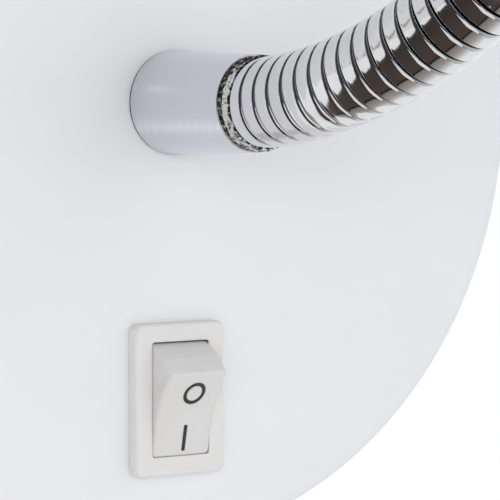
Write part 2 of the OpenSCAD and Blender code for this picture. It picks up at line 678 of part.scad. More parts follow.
module head_ferrule() at_head() translate([0, 0, socket_floor]) rotate([180, 0, 0]) ferrule_body();
module head_braze_ring() at_head() translate([0, 0, socket_floor]) rotate([180, 0, 0]) braze_body();
module head_lock_washer() at_head() translate([0, 0, shade_in_z]) lock_washer_body();
module head_nut() at_head() translate([0, 0, shade_in_z + washer_t]) nut_body();

shade_back_r = shade_back_d / 2;
shade_shoulder = 8;
shade_steps = 12;
// Outline of the shade's outside: a round shoulder, then a smooth flare to the mouth
function shade_flare(inset) = [for (i = [0:shade_steps]) let (t = i / shade_steps)
    [shade_back_r + (shade_d / 2 - shade_back_r) * (0.6 * t + 0.4 * sin(90 * t)) - inset,
        shade_z + shade_shoulder + (shade_len - shade_shoulder) * t]];
function shade_skin(inset) = concat(
    [[0, shade_z + inset]],
    arc([shade_back_r - shade_shoulder, shade_z + shade_shoulder], shade_shoulder - inset, -90, -10, 6),
    shade_flare(inset));
function reversed(list) = [for (i = [len(list) - 1:-1:0]) list[i]];
module shade() color(white_paint) at_head() difference() {
    turned(concat(shade_skin(0), reversed(shade_skin(shade_wall))));
    cylinder(d = stud_d + 2 * hole_play, h = shade_in_z + cut);
}

module holder_cap() color(ceramic) at_head() translate([0, 0, cap_z]) difference() {
    cylinder(d = holder_d, h = cap_len);
    translate([0, 0, -cut]) cylinder(d = stud_d + 2 * slip, h = cap_len);
    translate([0, 0, cap_floor]) cylinder(d = holder_d - 2 * holder_wall, h = cap_len);
}
holder_lead_x = 2.6;
holder_lead_in = 1.5;
module holder_body() color(ceramic) at_head() translate([0, 0, body_z]) difference() {
    cylinder(d = holder_d, h = holder_len);
    translate([0, 0, body_floor]) cylinder(d = well_d + 2 * slip, h = holder_len);
    for (x = [-holder_lead_x, holder_lead_x]) translate([x, 0, -cut])
        cylinder(d = lead_d + 2 * slip, h = holder_lead_in + cut);
}
module screw_shell() color(brass) at_head() translate([0, 0, well_z])
    tube(well_d, well_d - 2 * shell_t, shell_len);
module centre_contact() color(copper) at_head() translate([0, 0, well_z]) {
    cylinder(d = contact_stem_d, h = contact_stem);
    translate([0, 0, contact_stem]) cylinder(d = contact_d, h = contact_t);
}
holder_lead_z = socket_floor + stud_len + sheath_out;
holder_core_z = holder_lead_z + 2 * slip;
holder_lead_end = body_z + holder_lead_in - slip;
module holder_leads() color(sheath) at_head() for (side = [-1, 1]) lead(smooth([
    [side * core_x, 0, holder_core_z], [side * (core_x + 0.15), 0, holder_core_z + 0.9],
    [side * (core_x + 1), 0, holder_core_z + 2.3], [side * (holder_lead_x - 0.1), 0, body_z - 0.8],
    [side * holder_lead_x, 0, body_z + 0.2], [side * holder_lead_x, 0, holder_lead_end]]), lead_d / 2, [0, 1, 0]);

thread_turns = 4;
thread_pitch = 2.8;
thread_depth = 0.5;
cap_plain = 1.4;
thread_steps = 8;
cap_foot = bulb_z + insulator_h;
cap_top = cap_foot + cap_h;
cap_root_r = cap_d / 2 - thread_depth;
// Waves of the screw thread, as a turned outline
function cap_threads() = [for (i = [0:thread_steps * thread_turns])
    [cap_root_r + thread_depth * (1 - cos(360 * i / thread_steps)) / 2,
        cap_foot + cap_plain + thread_pitch * i / thread_steps]];
module bulb_cap() color(zinc) at_head() turned(concat(
    [[cap_root_r - cap_wall, cap_foot], [cap_root_r, cap_foot]],
    cap_threads(),
    [[cap_root_r, cap_top], [cap_root_r - cap_wall, cap_top]]));
tip_d = 4.6;
tip_h = 0.8;
module bulb_insulator() color(dark_braze) at_head() translate([0, 0, bulb_z]) {
    cylinder(d = tip_d, h = tip_h);
    translate([0, 0, tip_h]) cylinder(d1 = tip_d, d2 = 2 * cap_root_r, h = insulator_h - tip_h);
}

globe_r = globe_d / 2;
glass_neck_r = cap_root_r - cap_wall - slip;
glass_neck_in = 5;
glass_neck_out = 1;
glass_flare = -57.5;
// Outline of the globe's outside, from the neck in the cap, round the flare, to the pole
function globe_skin(inset) = concat(
    [[glass_neck_r - inset, cap_top - glass_neck_in], [glass_neck_r - inset, cap_top + glass_neck_out]],
    arc([0, globe_z], globe_r - inset, glass_flare, 90, 18));
module bulb_globe() color(frosted) at_head() turned(concat(globe_skin(0), reversed(globe_skin(glass_t))));

wall_bracket();
wall_plate();
plate_screws();
earth_screw();
earth_lug();
ferrule();
braze_ring();
neck_washer();
neck_lock_washer();
neck_nut();
switch_housing();
switch_rocker();
rocker_plunger();
plunger_spring();
contact_lever();
common_terminal();
load_terminal();
blade_receptacles();
terminal_block();
terminal_inserts();
terminal_screws();
block_screw();
live_lead();
switched_lead();
neutral_lead();
earth_lead();
for (i = [1:link_count]) neck_link(i);
for (i = [1:link_count]) neck_lead(i);
head_ferrule();
head_braze_ring();
head_lock_washer();
head_nut();
shade();
holder_cap();
holder_body();
screw_shell();
centre_contact();
holder_leads();
bulb_cap();
bulb_insulator();
bulb_globe();
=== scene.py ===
import json
import math

import bpy
import numpy as np
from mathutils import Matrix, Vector


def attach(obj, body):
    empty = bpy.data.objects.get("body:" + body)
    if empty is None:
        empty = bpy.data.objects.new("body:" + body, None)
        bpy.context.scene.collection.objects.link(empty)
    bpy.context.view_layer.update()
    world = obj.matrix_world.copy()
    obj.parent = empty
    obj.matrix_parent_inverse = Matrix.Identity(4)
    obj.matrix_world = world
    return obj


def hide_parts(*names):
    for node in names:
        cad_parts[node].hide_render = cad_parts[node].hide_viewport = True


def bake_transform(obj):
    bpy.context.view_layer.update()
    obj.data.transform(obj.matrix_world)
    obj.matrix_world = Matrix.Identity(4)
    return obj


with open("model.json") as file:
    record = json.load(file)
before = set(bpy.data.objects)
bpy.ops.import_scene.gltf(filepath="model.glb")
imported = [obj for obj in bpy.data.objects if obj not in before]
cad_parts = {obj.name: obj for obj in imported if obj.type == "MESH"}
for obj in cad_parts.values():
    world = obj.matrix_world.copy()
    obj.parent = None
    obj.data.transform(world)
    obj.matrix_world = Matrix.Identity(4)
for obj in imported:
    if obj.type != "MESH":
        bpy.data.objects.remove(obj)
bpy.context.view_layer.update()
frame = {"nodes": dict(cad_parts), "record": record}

MM = 0.001
TURN = 2 * math.pi

# Sizes of the lamp in millimetres, as in the part's source
PLATE_R = 45.0
PLATE_DEPTH = 25.0
PLATE_WALL = 1.0
PLATE_EDGE_R = 1.6
SWITCH_DROP = 30.0
CUTOUT_W = 8.7
CUTOUT_H = 13.8
SIDE_SCREW_Z = 9.0
SIDE_SCREW_R = 1.75
SIDE_SCREW_TIP = 39.9
SIDE_HEAD_R = 3.0
SIDE_HEAD_H = 2.0
FERRULE_LEN = 14.4
FERRULE_BASE_R = 5.25
FERRULE_MOUTH_R = 4.8
STUD_R = 4.0
STUD_LEN = 12.0
STUD_BORE_R = 2.5
SOCKET_R = 4.5
SOCKET_FLOOR = 3.4
BRAZE_W = 1.6
NECK_R = 4.45
NECK_BORE_R = 3.45
LINK_LEN = 39.9
LINKS = 7
NECK_STRAIGHT = 9.0
NECK_LEAN = math.radians(20)
BEND_R = 50.0
BEND_UP = math.radians(60)
BEND_END = math.radians(-40)
BEZEL_W = 10.8
BEZEL_H = 15.5
BEZEL_T = 1.6
BODY_W = 8.4
BODY_H = 13.5
BODY_DEPTH = 12.3
OPENING_W = 6.99
OPENING_H = 11.64
OPENING_LIFT = 0.06
CHAMBER_W = 7.3
CHAMBER_H = 12.4
ROCKER_W = 6.92
ROCKER_R = 6.0
ROCKER_MID = 3.1
ROCKER_SLOPE = math.radians(10)
ROCKER_TILT = math.radians(21.4)
ROCKER_HALF = 4.6
FACE_BEND_R = 12.0
SPRING_RISE = 2.65
PIVOT_Z = PLATE_DEPTH + BEZEL_T - 2.0
SHADE_R = 36.0
SHADE_BACK_R = 18.0
SHADE_LEN = 96.0
SHADE_WALL = 0.8
SHADE_SHOULDER = 8.0
GLOBE_R = 22.5
GLOBE_Z = 73.7
CAP_TOP = 47.7
GLASS_NECK_R = 6.05
GLASS_T = 0.8
NECK_LEAD_R = 1.3
LEAD_R = 0.6
LEAD_START = -16.4
LEAD_END = 16.4

# The neck's line
NECK_LEN = LINK_LEN * LINKS
NECK_Z = PLATE_DEPTH + SOCKET_FLOOR
RISE_S = NECK_STRAIGHT + BEND_R * BEND_UP
FALL_S = NECK_LEN - NECK_STRAIGHT
FALL_R = (FALL_S - RISE_S) / (BEND_UP - BEND_END)


def neck_line(s):
    """Slope, rise and reach of the neck at run s: straight, an arc up, a wider arc down, straight."""
    slope = np.select(
        [s < NECK_STRAIGHT, s < RISE_S, s < FALL_S],
        [0 * s, (s - NECK_STRAIGHT) / BEND_R, BEND_UP - (s - RISE_S) / FALL_R], BEND_END)
    first = np.clip(slope, 0, BEND_UP)
    first = np.where(s < RISE_S, first, BEND_UP)
    second = np.where(s < RISE_S, BEND_UP, slope)
    last = np.clip(s - FALL_S, 0, None)
    rise = (BEND_R * (1 - np.cos(first)) + FALL_R * (np.cos(second) - math.cos(BEND_UP))
            + last * math.sin(BEND_END))
    reach = (NECK_Z + np.minimum(s, NECK_STRAIGHT) + BEND_R * np.sin(first)
             + FALL_R * (math.sin(BEND_UP) - np.sin(second)) + last * math.cos(BEND_END))
    return slope, rise, reach


def wall_place(x, y, z):
    """Right, up and out of the wall in millimetres, as points of the part in metres."""
    return np.stack(np.broadcast_arrays(x, -np.asarray(z, float), y), -1) * MM


def lean_place(across, lift, reach):
    """Places in the leaned plane of the neck: across it, up in it, and out of the wall."""
    sin, cos = math.sin(NECK_LEAN), math.cos(NECK_LEAN)
    return wall_place(sin * lift + cos * across, cos * lift - sin * across, reach)


def neck_place(s, r, turn):
    """Points at run s along the neck, at distance r from its line, at angle turn round it."""
    slope, rise, reach = neck_line(s)
    up = r * np.sin(turn)
    return lean_place(r * np.cos(turn), rise + up * np.cos(slope), reach - up * np.sin(slope))


def head_place(x, y, z):
    """Points in the head's frame, z along the shade's axis from the hose's end."""
    _, rise, reach = neck_line(np.array(NECK_LEN))
    sin, cos = math.sin(BEND_END), math.cos(BEND_END)
    return lean_place(x, rise + y * cos + z * sin, reach - y * sin + z * cos)


def switch_place(x, y, z):
    """Points in the wall's frame, from the switch's centre."""
    return wall_place(x, y - SWITCH_DROP, z)


def rocker_place(x, y, z):
    """Points in the rocker's own frame, its pivot at the origin and its face towards z, tilted to ON."""
    sin, cos = math.sin(ROCKER_TILT), math.cos(ROCKER_TILT)
    return switch_place(x, y * cos - z * sin, PIVOT_Z + y * sin + z * cos)


def rounded(corners, radii, steps):
    """Outline through corners, each turned into an arc of its radius that touches both its sides."""
    p = np.array(corners, float)
    r = np.broadcast_to(np.asarray(radii, float), len(p))[:, None]
    a = np.roll(p, 1, 0) - p
    b = np.roll(p, -1, 0) - p
    a /= np.linalg.norm(a, axis=1)[:, None]
    b /= np.linalg.norm(b, axis=1)[:, None]
    half = np.arccos(np.clip((a * b).sum(1), -0.99999, 0.99999))[:, None] / 2
    middle = (a + b) / np.linalg.norm(a + b, axis=1)[:, None]
    centre = p + middle * r / np.sin(half)
    start = p + a * r / np.tan(half) - centre
    end = p + b * r / np.tan(half) - centre
    sweep = (math.pi - 2 * half)[:, :, None]
    t = np.linspace(0, 1, steps + 1)[None, :, None]
    arc = (np.sin((1 - t) * sweep) * start[:, None] + np.sin(t * sweep) * end[:, None]) / np.sin(sweep)
    return (centre[:, None] + arc).reshape(-1, 2)


def round_box(w, h, r, steps):
    """Loop of a w by h rectangle with corners of radius r, as x and y."""
    loop = rounded([[w / 2, h / 2], [-w / 2, h / 2], [-w / 2, -h / 2], [w / 2, -h / 2]], r, steps)
    return loop[:, 0], loop[:, 1]


def quads(rows, cols, wrap):
    """Faces of a grid that is closed round its columns, and round its rows too with wrap."""
    r = np.arange(rows if wrap else rows - 1)[:, None]
    c = np.arange(cols)[None, :]
    below, beside = (r + 1) % rows, (c + 1) % cols
    corners = np.broadcast_arrays(r * cols + c, r * cols + beside, below * cols + beside, below * cols + c)
    return np.stack(corners, -1).reshape(-1, 4)


def volume(points, faces):
    """Signed volume of four-sided faces: the sum of the wedges from the origin."""
    a, b, c, d = (points[faces[:, k]] for k in range(4))
    wedge = (a * np.cross(b, c)).sum(1) + (a * np.cross(c, d)).sum(1)
    return wedge.sum() / 6


def show(name, data):
    """New object of the scene."""
    piece = bpy.data.objects.new(name, data)
    bpy.context.scene.collection.objects.link(piece)
    return piece


def skin(name, grid, material, wrap=False, masks=None, sharp=38):
    """Closed piece from a grid of points (rows, columns, 3). Rows are loops; with wrap the last row
    meets the first, and otherwise each end row is closed by a fan to its middle point."""
    rows, cols = grid.shape[:2]
    points = grid.reshape(-1, 3)
    faces = quads(rows, cols, wrap)
    fans = []
    if not wrap:
        points = np.concatenate([points, grid[0].mean(0)[None], grid[-1].mean(0)[None]])
        c = np.arange(cols)
        beside = (c + 1) % cols
        first, last = np.full(cols, rows * cols), np.full(cols, rows * cols + 1)
        fans = [np.stack([first, beside, c], -1),
                np.stack([last, (rows - 1) * cols + c, (rows - 1) * cols + beside], -1)]
    middle = points.mean(0)
    fan_quads = [np.concatenate([f, f[:, 2:]], 1) for f in fans]
    if volume(points - middle, np.concatenate([faces, *fan_quads])) < 0:
        faces = faces[:, ::-1]
        fans = [f[:, ::-1] for f in fans]
    mesh = bpy.data.meshes.new(name)
    mesh.from_pydata(points.tolist(), [], faces.tolist() + [f for fan in fans for f in fan.tolist()])
    for label, values in (masks or {}).items():
        layer = mesh.attributes.new(label, "FLOAT", "POINT")
        flat = np.broadcast_to(values, grid.shape[:2]).reshape(-1)
        ends = [] if wrap else [flat[:cols].mean(), flat[-cols:].mean()]
        layer.data.foreach_set("value", np.concatenate([flat, ends]).astype(np.float32))
    mesh.shade_smooth()
    mesh.set_sharp_from_angle(angle=math.radians(sharp))
    mesh.materials.append(material)
    return show(name, mesh)


def dress(piece, body, slot, *nodes):
    """The piece rides on its body and stands for the nodes, which are hidden.
    The slot is not used.
    """
    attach(piece, body)
    if nodes:
        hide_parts(*nodes)


def turns(cols):
    """Row of angles once round."""
    return np.linspace(0, TURN, cols, endpoint=False)[None, :]


def turned(profile, place, cols):
    """Grid of a profile of (radius, height) pairs carried round the axis of a place."""
    r, z = np.asarray(profile, float).T[:, :, None]
    turn = turns(cols)
    return place(r * np.cos(turn), r * np.sin(turn), z + 0 * turn)


def ripple(u, v, seed, waves, top):
    """Rough field over two angles: a sum of sine waves of whole frequencies up to top, about 1 high."""
    draw = np.random.default_rng(seed)
    total = np.zeros(np.broadcast(u, v).shape)
    for _ in range(waves):
        m, n = draw.integers(1, top, 2)
        total = total + np.sin(m * u + n * v + draw.uniform(0, TURN)) * draw.uniform(0.4, 1)
    return total / math.sqrt(waves)


# Shared effects

def new_group(name, inputs, outputs):
    """Empty shader group with named sockets, and its input and output nodes."""
    tree = bpy.data.node_groups.new(name, "ShaderNodeTree")
    for label, kind, value in inputs:
        socket = tree.interface.new_socket(label, in_out="INPUT", socket_type="NodeSocket" + kind)
        socket.default_value = value
    for label, kind in outputs:
        tree.interface.new_socket(label, in_out="OUTPUT", socket_type="NodeSocket" + kind)
    return tree, tree.nodes.new("NodeGroupInput"), tree.nodes.new("NodeGroupOutput")


def add(tree, kind, operation=None, **values):
    """New shader node; values named for its inputs, with spaces as underscores, are set on them."""
    node = tree.nodes.new("ShaderNode" + kind)
    if operation:
        node.operation = operation
    for label, value in values.items():
        node.inputs[label.replace("_", " ")].default_value = value
    return node


def join(tree, *ends):
    """Links between nodes, each as node, output, node, input."""
    for source, outlet, target, inlet in ends:
        tree.links.new(source.outputs[outlet], target.inputs[inlet])


def tone_group():
    """Cloudy change between two colours, with the cloud itself as a value."""
    tree, inlet, outlet = new_group(
        "cloudy_tone",
        [("Low", "Color", (0.5, 0.5, 0.5, 1)), ("High", "Color", (0.8, 0.8, 0.8, 1)),
         ("Scale", "Float", 50.0), ("Detail", "Float", 3.0)],
        [("Color", "Color"), ("Value", "Float")])
    place = add(tree, "TexCoord")
    noise = add(tree, "TexNoise")
    spread = add(tree, "MapRange", From_Min=0.3, From_Max=0.7)
    mix = add(tree, "Mix")
    mix.data_type = "RGBA"
    join(tree, (place, "Object", noise, "Vector"), (inlet, "Scale", noise, "Scale"),
         (inlet, "Detail", noise, "Detail"), (noise, "Fac", spread, "Value"),
         (spread, "Result", mix, "Factor"), (inlet, "Low", mix, 6), (inlet, "High", mix, 7),
         (mix, 2, outlet, "Color"), (spread, "Result", outlet, "Value"))
    return tree


def grain_group():
    """Height of a fine grain: coarse and fine noise added by a share."""
    tree, inlet, outlet = new_group(
        "fine_grain",
        [("Scale", "Float", 800.0), ("Fine", "Float", 4.0), ("Share", "Float", 0.3)],
        [("Height", "Float")])
    place = add(tree, "TexCoord")
    coarse = add(tree, "TexNoise", Detail=2.0)
    fine = add(tree, "TexNoise", Detail=2.0)
    times = add(tree, "Math", "MULTIPLY")
    mix = add(tree, "Mix")
    join(tree, (place, "Object", coarse, "Vector"), (place, "Object", fine, "Vector"),
         (inlet, "Scale", coarse, "Scale"), (inlet, "Scale", times, 0), (inlet, "Fine", times, 1),
         (times, "Value", fine, "Scale"), (inlet, "Share", mix, "Factor"), (coarse, "Fac", mix, 2),
         (fine, "Fac", mix, 3), (mix, 0, outlet, "Height"))
    return tree


def streak_group():
    """Fine scratches: noise squeezed along one way, cut to its highest crests."""
    tree, inlet, outlet = new_group(
        "fine_scratches",
        [("Stretch", "Vector", (1.0, 1.0, 1.0)), ("Scale", "Float", 900.0), ("Cut", "Float", 0.6)],
        [("Value", "Float")])
    place = add(tree, "TexCoord")
    squeeze = add(tree, "Mapping")
    noise = add(tree, "TexNoise", Detail=4.0, Roughness=0.7)
    crest = add(tree, "MapRange", From_Max=0.8)
    join(tree, (place, "Object", squeeze, "Vector"), (inlet, "Stretch", squeeze, "Scale"),
         (squeeze, "Vector", noise, "Vector"), (inlet, "Scale", noise, "Scale"),
         (inlet, "Cut", crest, "From Min"), (noise, "Fac", crest, "Value"),
         (crest, "Result", outlet, "Value"))
    return tree


cloudy_tone = tone_group()
fine_grain = grain_group()
fine_scratches = streak_group()


# Materials

class Finish:
    """A material with its own shader, and short ways to place effects and join them."""

    def __init__(self, name, **values):
        self.material = bpy.data.materials.new(name)
        self.material.use_nodes = True
        self.tree = self.material.node_tree
        self.shader = self.tree.nodes["Principled BSDF"]
        for label, value in values.items():
            self.shader.inputs[label.replace("_", " ")].default_value = value

    def effect(self, group, **values):
        """A shared effect with its own settings."""
        node = add(self.tree, "Group")
        node.node_tree = group
        for label, value in values.items():
            node.inputs[label].default_value = value
        return node

    def link(self, source, target):
        """An output into a socket, or into the shader's socket of that name."""
        self.tree.links.new(source, self.shader.inputs[target] if isinstance(target, str) else target)

    def tone(self, low, high, scale, rough=None, detail=3.0, **masked):
        """Base colour that drifts between two colours, and roughness that drifts with it. Under a mask that
        is named here the colour turns to the one given for it."""
        node = self.effect(cloudy_tone, Low=(*low, 1), High=(*high, 1), Scale=scale, Detail=detail)
        colour = node.outputs["Color"]
        for name, other in masked.items():
            colour = self.mix(self.mask(name), colour, other)
        self.link(colour, "Base Color")
        if rough:
            self.rough(node.outputs["Value"], *rough)

    def rough(self, source, low, high):
        """Roughness from low to high as the source goes from 0 to 1."""
        node = add(self.tree, "MapRange", To_Min=low, To_Max=high)
        self.link(source, node.inputs["Value"])
        self.link(node.outputs["Result"], "Roughness")

    def bump(self, height, depth, strength):
        """Normal from a height; depth in metres."""
        node = add(self.tree, "Bump", Strength=strength, Distance=depth)
        self.link(height, node.inputs["Height"])
        self.link(node.outputs["Normal"], "Normal")

    def grain(self, scale, fine=3.0, share=0.4, depth=0.00001, strength=0.4):
        """Fine grain as a bump."""
        node = self.effect(fine_grain, Scale=scale, Fine=fine, Share=share)
        self.bump(node.outputs["Height"], depth, strength)

    def mask(self, name):
        """A mask that the piece carries on its points."""
        node = add(self.tree, "Attribute")
        node.attribute_name = name
        return node.outputs["Fac"]

    def mix(self, factor, low, high):
        """Colour between low and high, each a colour or an output."""
        node = add(self.tree, "Mix")
        node.data_type = "RGBA"
        self.link(factor, node.inputs["Factor"])
        for socket, value in ((node.inputs[6], low), (node.inputs[7], high)):
            if isinstance(value, tuple):
                socket.default_value = (*value, 1)
            else:
                self.link(value, socket)
        return node.outputs[2]


def gloss_paint():
    """White enamel: a very soft orange peel and faint clouding."""
    f = Finish("white_gloss_paint", IOR=1.5)
    f.tone((0.8, 0.81, 0.83), (0.82, 0.83, 0.85), scale=45, rough=(0.36, 0.44))
    f.grain(scale=420.0, share=0.25, strength=0.15)
    return f.material


def bright_chrome():
    """Polished chrome: cool grey mirror with faint wipe marks and hairline scratches. Painted shade turns
    it near black under the foot, and a painted highlight lightens a streaked band along the flank.
    """
    f = Finish("bright_chrome", Metallic=1.0)
    # painted light: near black painted shade under the ferrule's foot, and a lighter painted highlight band
    f.tone((0.65, 0.665, 0.705), (0.7, 0.71, 0.745), scale=120, rough=(0.14, 0.22),
           polish=(0.88, 0.885, 0.9), seam=(0.012, 0.011, 0.012))
    hair = f.effect(fine_scratches, Stretch=(1.0, 0.2, 1.0), Scale=1400.0, Cut=0.55)
    f.bump(hair.outputs["Value"], 0.000004, 0.4)
    return f.material


def hose_chrome():
    """Chrome bands of the hose, dull down in the grooves, where painted shade turns the colour near black.
    """
    f = Finish("hose_chrome", Metallic=1.0)
    # painted shade: the colour turns near black in the grooves, under the groove mask
    f.tone((0.68, 0.685, 0.705), (0.73, 0.735, 0.75), scale=260, detail=2.0, groove=(0.012, 0.011, 0.012))
    f.rough(f.mask("groove"), 0.09, 0.5)
    f.grain(scale=700.0, fine=4.0, share=0.2, depth=0.00002, strength=0.3)
    return f.material


def rough_braze():
    """Brazed seam: dark flux, broken up into bright metal specks where the mask says it is bare."""
    f = Finish("rough_braze", Metallic=0.5)
    speck = f.effect(cloudy_tone, Scale=2900.0, Detail=4.0)
    both = add(f.tree, "Math")
    f.link(speck.outputs["Value"], both.inputs[0])
    f.link(f.mask("bare"), both.inputs[1])
    cut = add(f.tree, "MapRange", From_Min=0.85, From_Max=1.15)
    f.link(both.outputs["Value"], cut.inputs["Value"])
    f.link(f.mix(cut.outputs["Result"], (0.024, 0.022, 0.022), (0.8, 0.79, 0.77)), "Base Color")
    f.rough(cut.outputs["Result"], 0.6, 0.3)
    f.grain(scale=3600.0, depth=0.0002, strength=0.6)
    return f.material


def zinc_plate():
    """Zinc plated steel: cool grey with a faint yellow and blue bloom, drawn lines along the strap."""
    f = Finish("zinc_plate", Metallic=1.0)
    f.tone((0.58, 0.59, 0.615), (0.655, 0.655, 0.64), scale=140, rough=(0.26, 0.42), detail=4.0)
    lines = f.effect(fine_scratches, Stretch=(0.08, 1.0, 1.0), Scale=1500.0, Cut=0.45)
    f.bump(lines.outputs["Value"], 0.00001, 0.5)
    return f.material


def plain_brass():
    """Stamped brass with a little tarnish."""
    f = Finish("plain_brass", Metallic=1.0)
    f.tone((0.52, 0.37, 0.15), (0.75, 0.56, 0.26), scale=300, rough=(0.42, 0.24), detail=4.0)
    f.grain(scale=1800.0)
    return f.material


def switch_plastic():
    """White moulded plastic with a fine spark grain and a warm cast."""
    f = Finish("switch_plastic", IOR=1.49, Subsurface_Weight=0.08, Subsurface_Scale=0.001)
    f.shader.inputs["Subsurface Radius"].default_value = (1.0, 0.8, 0.6)
    f.tone((0.74, 0.722, 0.71), (0.765, 0.752, 0.745), scale=320, rough=(0.4, 0.5),
           shaded=(0.05, 0.04, 0.035))
    f.grain(scale=4200.0, fine=2.5, share=0.5, depth=0.000012, strength=0.5)
    return f.material


def printed_black():
    """Black pad print with a slightly patchy edge."""
    f = Finish("printed_black", IOR=1.45)
    f.tone((0.012, 0.011, 0.011), (0.05, 0.047, 0.045), scale=4200, rough=(0.42, 0.6), detail=4.0)
    return f.material


def moulded_plastic(name, low, high, scale, rough):
    """Plain moulding: drifting colour, satin skin, fine grain."""
    f = Finish(name, IOR=1.5)
    f.tone(low, high, scale, rough=(rough, rough + 0.1))
    f.grain(scale=2200.0)
    return f.material


def earth_sheath():
    """Green insulation with two yellow stripes along the lead."""
    f = Finish("earth_sheath", IOR=1.5)
    f.tone((0.03, 0.17, 0.035), (0.045, 0.22, 0.05), scale=500, rough=(0.38, 0.48), stripe=(0.62, 0.5, 0.03))
    return f.material


def frosted_bulb():
    """Frosted white glass: milky, softly shining."""
    f = Finish("frosted_bulb", IOR=1.5, Transmission_Weight=0.25, Coat_Weight=0.3, Coat_Roughness=0.12)
    f.tone((0.88, 0.87, 0.84), (0.91, 0.905, 0.88), scale=60, rough=(0.32, 0.4))
    f.grain(scale=3500.0, fine=2.0, share=0.5)
    return f.material


paint = gloss_paint()
chrome = bright_chrome()
hose = hose_chrome()
braze = rough_braze()
plastic = switch_plastic()
print_black = printed_black()
finishes = {
    "white_paint": paint,
    "chrome": chrome,
    "braze": braze,
    "zinc": zinc_plate(),
    "brass": plain_brass(),
    "switch_white": plastic,
    "natural_plastic": moulded_plastic("holder_plastic", (0.76, 0.745, 0.7), (0.81, 0.8, 0.76), 200, 0.36),
    "lead_white": moulded_plastic("white_sheath", (0.74, 0.74, 0.73), (0.79, 0.79, 0.78), 300, 0.4),
    "lead_brown": moulded_plastic("brown_sheath", (0.085, 0.035, 0.017), (0.115, 0.05, 0.025), 400, 0.38),
    "lead_blue": moulded_plastic("blue_sheath", (0.014, 0.05, 0.24), (0.02, 0.07, 0.3), 400, 0.38),
    "lead_earth": earth_sheath(),
    "black_glass": moulded_plastic("black_insulator", (0.01, 0.01, 0.012), (0.02, 0.02, 0.022), 500, 0.15),
    "frosted_glass": frosted_bulb(),
}
slot_of = {row["node"]: row["material_slot"] for row in frame["record"]["subparts"]}
for node, body_mesh in frame["nodes"].items():
    body_mesh.data.materials.clear()
    body_mesh.data.materials.append(finishes[slot_of[node]])


# Wall plate

FACE_SHARES = np.array([0, 0.015, 0.1, 0.3, 0.6, 0.9, 0.985, 1])[:, None]
FOOT_ROUND = 0.1
RIM_MID = 8.0
EDGE_MARGIN = 0.4


def plate_grid(cols=288):
    """Sheet of the plate as one closed ring of loops: out over the front from the switch's cut-out,
    round the edge, down the rim, and back inside. Loops share their direction from the switch."""
    turn = turns(cols)
    x, y = np.cos(turn), np.sin(turn)
    inner = 1 / np.maximum(np.abs(x) / (CUTOUT_W / 2), np.abs(y) / (CUTOUT_H / 2))

    def circle(r):
        along = SWITCH_DROP * y
        return along + np.sqrt(along ** 2 - SWITCH_DROP ** 2 + np.asarray(r)[:, None] ** 2)

    def face(r, z):
        return inner + (circle(np.full(1, r)) - inner) * FACE_SHARES, np.full(len(FACE_SHARES), z)

    arc = np.linspace(0, math.pi / 2, 13)[1:]
    centre_r, centre_z = PLATE_R - PLATE_EDGE_R, PLATE_DEPTH - PLATE_EDGE_R
    front, front_z = face(centre_r, PLATE_DEPTH)
    edge = circle(centre_r + PLATE_EDGE_R * np.sin(arc))
    edge_z = centre_z + PLATE_EDGE_R * np.cos(arc)
    foot_in = np.array([0, 0, 0, FOOT_ROUND, PLATE_WALL - FOOT_ROUND, PLATE_WALL, PLATE_WALL, PLATE_WALL])
    half_z = [centre_z - EDGE_MARGIN, RIM_MID, FOOT_ROUND, 0.0]
    foot_z = np.array(half_z + half_z[::-1])
    inside = PLATE_EDGE_R - PLATE_WALL
    back_edge = circle(centre_r + inside * np.sin(arc[::-1]))
    back_edge_z = centre_z + inside * np.cos(arc[::-1])
    back, back_z = face(centre_r, PLATE_DEPTH - PLATE_WALL)
    reach = np.concatenate([front, edge, circle(PLATE_R - foot_in), back_edge, back[::-1]])
    z = np.concatenate([front_z, edge_z, foot_z, back_edge_z, back_z])[:, None]
    return wall_place(reach * x, reach * y - SWITCH_DROP, z + 0 * reach)


plate = skin("wall_plate_shell", plate_grid(), paint, wrap=True)
dress(plate, "base", "white_paint", "wall_plate")


# Plate screws

SIDE_PITCH = 0.6
SIDE_THREAD = 0.1
HEAD_ROUND = 1.0
CROSS_HALF_W = 0.46
CROSS_R = 1.7
CROSS_RIM = 0.4
CROSS_DEEPER = 0.7


def side_screw_grid(side):
    """Pan head screw at one side of the plate: a shank with thread ridges, a round head, and a cross recess
    sunk where a point is near either of the cross's lines, deeper towards its middle."""
    ridge = np.linspace(SIDE_SCREW_TIP + 0.3, PLATE_R - 0.4, 81)
    thread = np.stack([SIDE_SCREW_R - 0.12 - SIDE_THREAD * np.cos(ridge * TURN / SIDE_PITCH), ridge], 1)
    corners = [[SIDE_SCREW_R, 0], [SIDE_HEAD_R, 0], [SIDE_HEAD_R, SIDE_HEAD_H], [0.0, SIDE_HEAD_H]]
    steps = 8
    edge = rounded(corners, [0.02, 0.12, HEAD_ROUND, 0.02], steps)[steps + 1:3 * (steps + 1)]
    top_r = np.linspace(SIDE_HEAD_R - HEAD_ROUND - 0.1, 0.04, 26)
    top = np.stack([top_r, 0 * top_r + SIDE_HEAD_H], 1)
    tip = [[0.5, SIDE_SCREW_TIP], [SIDE_SCREW_R - 0.4, SIDE_SCREW_TIP]]
    profile = np.concatenate([tip, thread, edge + (0, PLATE_R), top + (0, PLATE_R)])
    r, z = profile.T[:, :, None]
    turn = turns(96)
    x, y = r * np.cos(turn), r * np.sin(turn)
    near = np.clip((CROSS_HALF_W - np.minimum(np.abs(x), np.abs(y))) / 0.1, 0, 1)
    arms = near * np.clip((CROSS_R - r) / 0.25, 0, 1)
    depth = CROSS_RIM + CROSS_DEEPER * np.clip((1.4 - r) / 1.0, 0, 1)
    z = z - np.where(z > PLATE_R + SIDE_HEAD_H - 0.01, arms * depth, 0)
    return wall_place(side * z, y, SIDE_SCREW_Z + x)


for side_name, side in (("left", -1), ("right", 1)):
    screw = skin(f"plate_screw_{side_name}", side_screw_grid(side), finishes["zinc"])
    dress(screw, "base", "zinc", "plate_screws")


# Ferrules and braze rings

